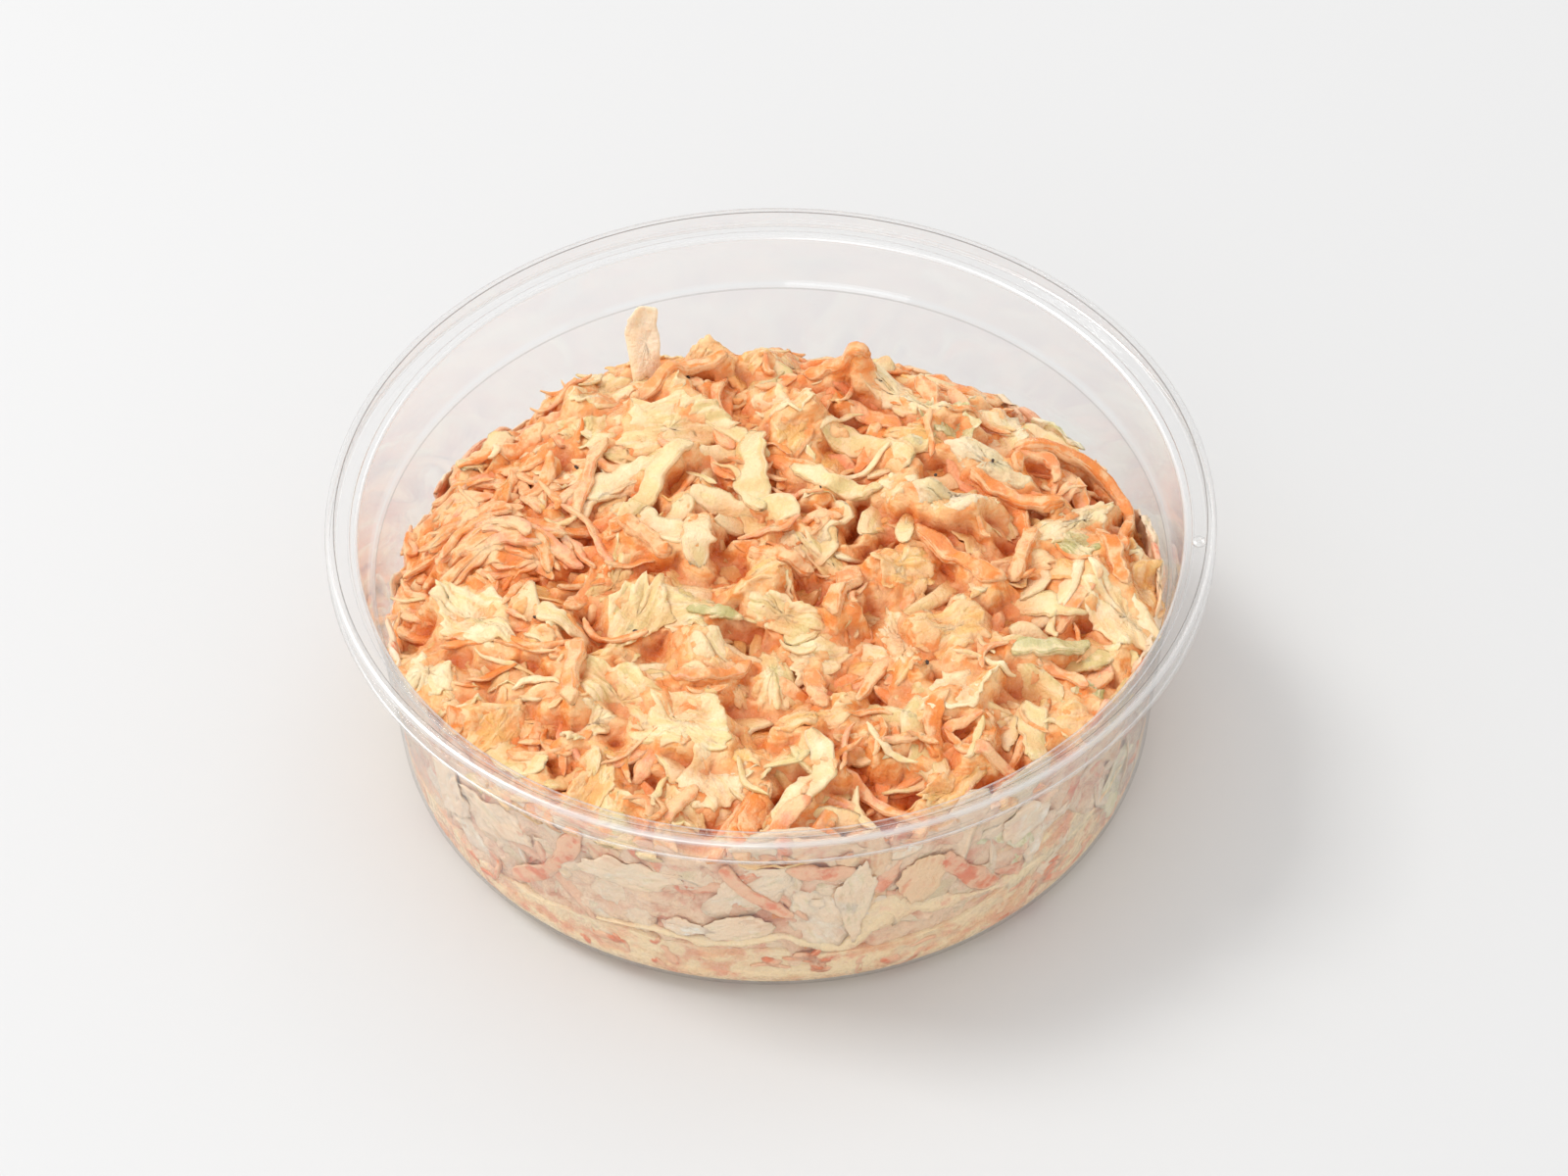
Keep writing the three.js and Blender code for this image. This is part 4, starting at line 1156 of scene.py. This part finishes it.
def lay_cluster(bed, batch):
    """Carrot shreds curled side by side round one place."""
    for number in range(CLUSTER_SHREDS):
        radius = 4.5 + 0.65 * number + rng.normal() * 0.4
        off = rng.normal() * 0.45
        length = rng.uniform(11, 18)
        at = (CLUSTER[0] + radius * math.sin(off), CLUSTER[1] + radius * math.cos(off))
        shred(
            batch, bed, at, -off + rng.normal() * 0.3, length, rng.uniform(1.2, 2.3), rng.uniform(0.6, 1.1),
            bow=-length / (radius + 3), wiggle=0.25, lift=(rng.uniform(0, 0.8), rng.uniform(0, 1.2)),
            sink=0.5, sides=10, rings=30, tone=rng.uniform(0.1, 1.2), blunt=rng.uniform(2.5, 8), ragged=0.15,
        )


def lay_chosen(bed, batches):
    """The pieces that stand out, one by one, then the one leaf that stands upright at the back."""
    for kind, x, y, way, length, width, thickness, fold, lift, side, pale in CHOSEN_LEAVES:
        if (x, y) in SMOOTH_OVALS:
            form = {"wave": 0.12, "ragged": 0.01, "corners": 14}
        else:
            form = {"wave": 0.6, "ragged": 0.09, "corners": 6, "ribs": 0.14}
        leaf(
            batches[kind], bed, (x, y), math.radians(way), length, width, thickness, sink=0.2, fold=fold,
            curl=(lift, math.radians(side - way)), tone=pale, **form, **CHOSEN_SHEET,
        )
    for kind, x, y, way, length, width, thickness, bow, arch, pale in CHOSEN_SHREDS:
        shred(
            batches[kind], bed, (x, y), math.radians(way), length, width, thickness, bow=bow, wiggle=0.12,
            arch=arch, tone=pale, sink=0.3, **CHOSEN_STRIP,
        )

    def on_a_steep_plane(a, b, h):
        return np.stack([a + UPRIGHT_PLACE[0], UPRIGHT_PLACE[1] - h + 0.45 * (b - 30), b], -1)

    upright = Bed((-9, 20), (9, 40), lambda a, b: 0 * a, on_a_steep_plane)
    leaf(
        batches["slice"], upright, (0, 33.7), math.pi / 2, 12, 5.6, 0.6, wave=0.4, ragged=0.02, tone=1.3,
        sectors=48, rings=8, ribs=0.1, corners=10,
    )


# the kinds of piece and how pale each one is, then the names of their objects
KINDS = {"carrot": 0.0, "cabbage": 0.9, "leaf": 1.0, "stained": 0.7, "green": 0.9, "slice": 1.0}
NAMES = {
    "carrot": "carrot_shreds",
    "cabbage": "cabbage_shreds",
    "leaf": "cabbage_leaves",
    "stained": "stained_leaves",
    "green": "green_cabbage",
    "slice": "pale_slices",
}


def on_the_heap():
    """A random place on the heap."""
    radius = LAID_RADIUS * math.sqrt(rng.uniform())
    angle = rng.uniform(0, 2 * math.pi)
    return radius * math.cos(angle), radius * math.sin(angle)


def lay_the_heap():
    """The whole heap, from the bottom up. Gives the bed that it made and the batches of each kind."""
    batches = {kind: Batch(shade) for kind, shade in KINDS.items()}

    def start_of_laying(x, y):
        uneven = 0.6 * drift(np.stack([x, y, np.zeros_like(x)], -1), 7.0)[..., 2]
        return laid_height(x, y) - CORE_BELOW + uneven - HOLLOW_DEPTH * hollow_at(x, y)

    def target(x, y):
        return laid_height(np.array(x), np.array(y))

    heap = Bed((-REACH, -REACH), (REACH, REACH), start_of_laying, lambda a, b, h: np.stack([a, b, h], -1))
    lay_mixed(heap, target, batches, on_the_heap, UNDER_PIECES, avoid=hollow_at)
    for _ in range(HEAP_SCRAPS):
        kind = rng.choice(["carrot", "cabbage", "stained"])
        scrap(batches[kind], heap, on_the_heap(), rng.uniform(1.4, 2.8))
    lay_mixed(heap, target, batches, on_the_heap, TOP_PIECES, avoid=hollow_at, fine=True, leafy=0.68)
    for _ in range(SLIVERS):
        kind = rng.choice(["carrot", "cabbage"], p=[0.7, 0.3])
        shred(
            batches[kind], heap, on_the_heap(), rng.uniform(0, 2 * math.pi), rng.uniform(4, 11),
            rng.uniform(0.7, 1.3), rng.uniform(0.4, 0.7), bow=rng.normal() * 1.2, sink=0.2, sides=7,
            rings=22, blunt=rng.uniform(1.2, 3), lift=(rng.uniform(0, 1.2), rng.uniform(0, 1.2)),
            tone=rng.uniform(0.2, 0.9),
        )
    lay_cluster(heap, batches["carrot"])
    lay_chosen(heap, batches)
    return heap, batches


def lay_pepper(heap):
    pepper = Batch()
    for place in PEPPER:
        shred(
            pepper, heap, place, rng.uniform(0, 3), rng.uniform(0.5, 0.9), 0.4, 0.3, wiggle=0, sink=0.1,
            sides=6, rings=6, blunt=3,
        )
    return pepper


def lay_at_the_wall():
    """The layer that shows through the wall. Gives the batches of each kind."""
    batches = {kind: Batch(shade) for kind, shade in KINDS.items()}
    round_trip = 2 * math.pi * WALL_REACH

    def on_wall(a, b, h):
        angle = math.pi / 2 + a / WALL_REACH
        edge = laid_height(50.5 * np.cos(angle), 50.5 * np.sin(angle))
        b = -softly_below(-softly_below(b, edge, 0.6), -WALL_FOOD_LOWEST, 1.5)
        radius = inner_radius(b) - WALL_LAYER + h
        return np.stack([radius * np.cos(angle), radius * np.sin(angle), b], -1)

    def uneven(a, b):
        return 1.5 + 0.3 * np.sin(a * 0.9) * np.sin(b * 0.8)

    def over_the_dressing():
        a = rng.uniform(0, round_trip)
        angle = math.pi / 2 + a / WALL_REACH
        top = float(laid_height(50 * math.cos(angle), 50 * math.sin(angle))) - 2.5
        return a, rng.uniform(9.0, top)

    def target(a, b):
        return np.array(WALL_LAYER)

    wall = Bed((-2, 2), (round_trip + 2, 36), uneven, on_wall)
    for _ in range(WALL_BITS):  # small bits of carrot in the dressing, below its crest
        at = (rng.uniform(0, round_trip), rng.uniform(3.5, 10.0))
        shred(
            batches["carrot"], wall, at, rng.normal() * 0.6, rng.uniform(2, 6), rng.uniform(0.7, 1.5), 0.6,
            bow=rng.normal(), sink=-1.0, sides=6, rings=10, ceiling=WALL_LAYER + 0.2, tone=0.0,
        )
    ceiling = WALL_LAYER + WALL_BULGE
    lay_mixed(wall, target, batches, over_the_dressing, WALL_PIECES, ceiling=ceiling, lift=0.0, size=1.4)
    for kind, angle, height, way, length, width, pale in WALL_CHOSEN:
        at = (math.radians((angle - 90) % 360) * WALL_REACH, height)
        way = math.radians(way)
        if kind == "carrot":
            shred(
                batches[kind], wall, at, way, length, width, 1.0, bow=0.3, wiggle=0.15, sink=-0.3,
                ceiling=ceiling, tone=pale, **FINE_STRIP,
            )
        else:
            leaf(
                batches[kind], wall, at, way, length, width, 0.7, wave=0.25, sink=-0.2, ribs=0.15,
                ceiling=ceiling, tone=pale, ragged=0.06, **FINE_SHEET,
            )
    return batches


def build_core(heap, skin_at):
    """What lies between the pieces: it stays inside the topmost ones, fills the shallow gaps and
    leaves the hollows open. It takes its shade from the pieces over it."""
    shade = softened_both_ways(heap.shade, 3)
    mean = softened_both_ways(heap.height, 3)
    top = np.minimum(mean - CORE_UNDER_MEAN, heap.height - CORE_UNDER_PIECES)
    top = top - HOLLOW_DEPTH * 0.6 * hollow_at(heap.a, heap.b)
    near = smoothstep(np.hypot(heap.a, heap.b), *CORE_EDGE_RADII)
    top = top * (1 - near) + np.minimum(edge_level(np.arctan2(heap.b, heap.a)), top) * near

    def core_top(radius, angle):
        radius = np.minimum(radius, 53.5)
        return heap.at(radius * np.cos(angle), radius * np.sin(angle), top)

    def core_side(height, angle):
        across = np.sin(angle * 23 + np.sin(height * 0.5) * 2)
        up = np.sin(height * 0.9 + np.sin(angle * 9) * 2)
        return inner_radius(height) - CORE_RECESS - CORE_POCKETS * (0.5 + 0.5 * across * up) ** 1.5

    core = Batch()
    round_body(core, core_top, core_side, CORE_BOTTOM, *CORE_MESH, rough=(0.3, 0.2))
    places = core.points[0]
    inland = smoothstep(-np.hypot(places[:, 0], places[:, 1]), -52.0, -50.5)
    core.tone[0] = CORE_SIDE_SHADE + (heap.at(places[:, 0], places[:, 1], shade) - CORE_SIDE_SHADE) * inland
    film = (smear_on_wall(), FILM_DEPTH)
    core.build("dressed_core", smeared_mix(), "dressed_salad", "coleslaw", surface=skin_at, film=film)


def build_salad():
    heap, batches = lay_the_heap()
    pepper = lay_pepper(heap)
    wall_batches = lay_at_the_wall()
    skin = softened_both_ways(heap.height, 40)

    def skin_at(x, y):
        return heap.at(x, y, skin)

    build_core(heap, skin_at)
    looks = {
        "carrot": carrot(),
        "cabbage": cabbage(),
        "stained": stained_cabbage(),
        "green": green_cabbage(),
        "slice": pale_slice(),
    }
    looks["leaf"] = looks["cabbage"]
    for kind, batch in batches.items():
        batch.build(NAMES[kind], looks[kind], "dressed_salad", "coleslaw", surface=skin_at)
    looks = {kind: pressed(kind, *colours) for kind, colours in BEHIND_FILM.items()}
    looks["leaf"] = looks["cabbage"]
    for kind, batch in wall_batches.items():
        if batch.points:
            batch.build(NAMES[kind] + "_at_wall", looks[kind], "dressed_salad", "coleslaw")
    pepper.build("pepper_flecks", black_pepper(), "dressed_salad", "coleslaw")


# ================================================================ floor, lights, camera
FLOOR_HALF = 3.0  # metres


def build_floor():
    """A seamless white sweep, matt."""
    made, tree = blank_material("matt_white_sweep")
    mottle = noise(tree, object_place(tree), 300, 1.0)
    colour = ramp(tree, mottle, [(0.3, "#D2D2D2"), (0.7, "#D4D4D4")])
    paper = {"Base Color": colour, "Roughness": 0.9, "Specular IOR Level": 0.1}
    paper = node(tree, "ShaderNodeBsdfPrincipled", paper)
    surface_of(tree, paper.outputs[0])
    mesh = bpy.data.meshes.new("floor")
    corners = [(x * FLOOR_HALF, y * FLOOR_HALF, 0) for x, y in ((-1, -1), (1, -1), (1, 1), (-1, 1))]
    mesh.from_pydata(corners, [], [(0, 1, 2, 3)])
    floor = new_object("floor", mesh)
    mesh.materials.append(made)


def softbox(name, place, aim, size, power):
    lamp = bpy.data.lights.new(name, "AREA")
    lamp.shape = "RECTANGLE"
    lamp.size, lamp.size_y = size
    lamp.energy = power
    made = new_object(name, lamp)
    made.location = place
    made.rotation_euler = (Vector(aim) - Vector(place)).to_track_quat("-Z", "Y").to_euler()


def build_lights():
    world = bpy.data.worlds.new("white_studio")
    bpy.context.scene.world = world
    world.use_nodes = True
    tree = world.node_tree
    tree.nodes.clear()
    way = node(tree, "ShaderNodeTexCoord").outputs["Generated"]
    height = node(tree, "ShaderNodeSeparateXYZ", {0: way})
    sky = node(
        tree,
        "ShaderNodeValToRGB",
        {"Fac": height.outputs["Z"]},
        [(0.0, (0.94, 0.94, 0.94, 1)), (0.4, (0.97, 0.97, 0.97, 1)), (0.8, (1.0, 1.0, 1.0, 1))],
    )
    shine = node(tree, "ShaderNodeBackground", {"Color": sky.outputs["Color"], "Strength": 0.96})
    node(tree, "ShaderNodeOutputWorld", {"Surface": shine.outputs[0]})
    softbox("key_softbox", (-0.9, 0.25, 1.1), (0, 0, 0.02), (0.5, 0.5), 9.8)
    softbox("front_softbox", (-0.5, -1.25, 0.7), (0, 0, 0.02), (0.8, 0.5), 2.5)
    softbox("fill_softbox", (0.7, 0.7, 0.9), (0, 0, 0.03), (0.5, 0.3), 0.6)


# in degrees and millimetres, from the middle of the rim's plane
CAMERA_ELEVATION = 46.45
CAMERA_DISTANCE = 777.5
CAMERA_ACROSS = 1.58
CAMERA_DOWN = 10.48
CAMERA_ROLL = 1.28
LENS = 135.0
SENSOR = 36.0


def build_camera():
    lens = bpy.data.cameras.new("camera")
    lens.lens = LENS
    lens.sensor_width = SENSOR
    lens.clip_start, lens.clip_end = 0.05, 20
    made = new_object("camera", lens)
    e, roll = math.radians(CAMERA_ELEVATION), math.radians(CAMERA_ROLL)
    right = Vector((1, 0, 0))
    forward = Vector((0, math.cos(e), -math.sin(e)))
    up = Vector((0, math.sin(e), math.cos(e)))
    place = Vector((0, 0, CUP_HEIGHT)) - CAMERA_DISTANCE * forward + CAMERA_ACROSS * right - CAMERA_DOWN * up
    side = right * math.cos(roll) - up * math.sin(roll)
    top = up * math.cos(roll) + right * math.sin(roll)
    turn = Matrix((side, top, -forward)).transposed().to_4x4()
    made.matrix_world = Matrix.Translation(place * MM) @ turn
    bpy.context.scene.camera = made


def main():
    bpy.context.scene.view_settings.view_transform = "Standard"
    bpy.context.scene.cycles.transparent_max_bounces = 32  # light passes the wall many times
    build_camera()
    build_floor()
    build_lights()
    build_cup()
    build_pool()
    build_salad()


main()
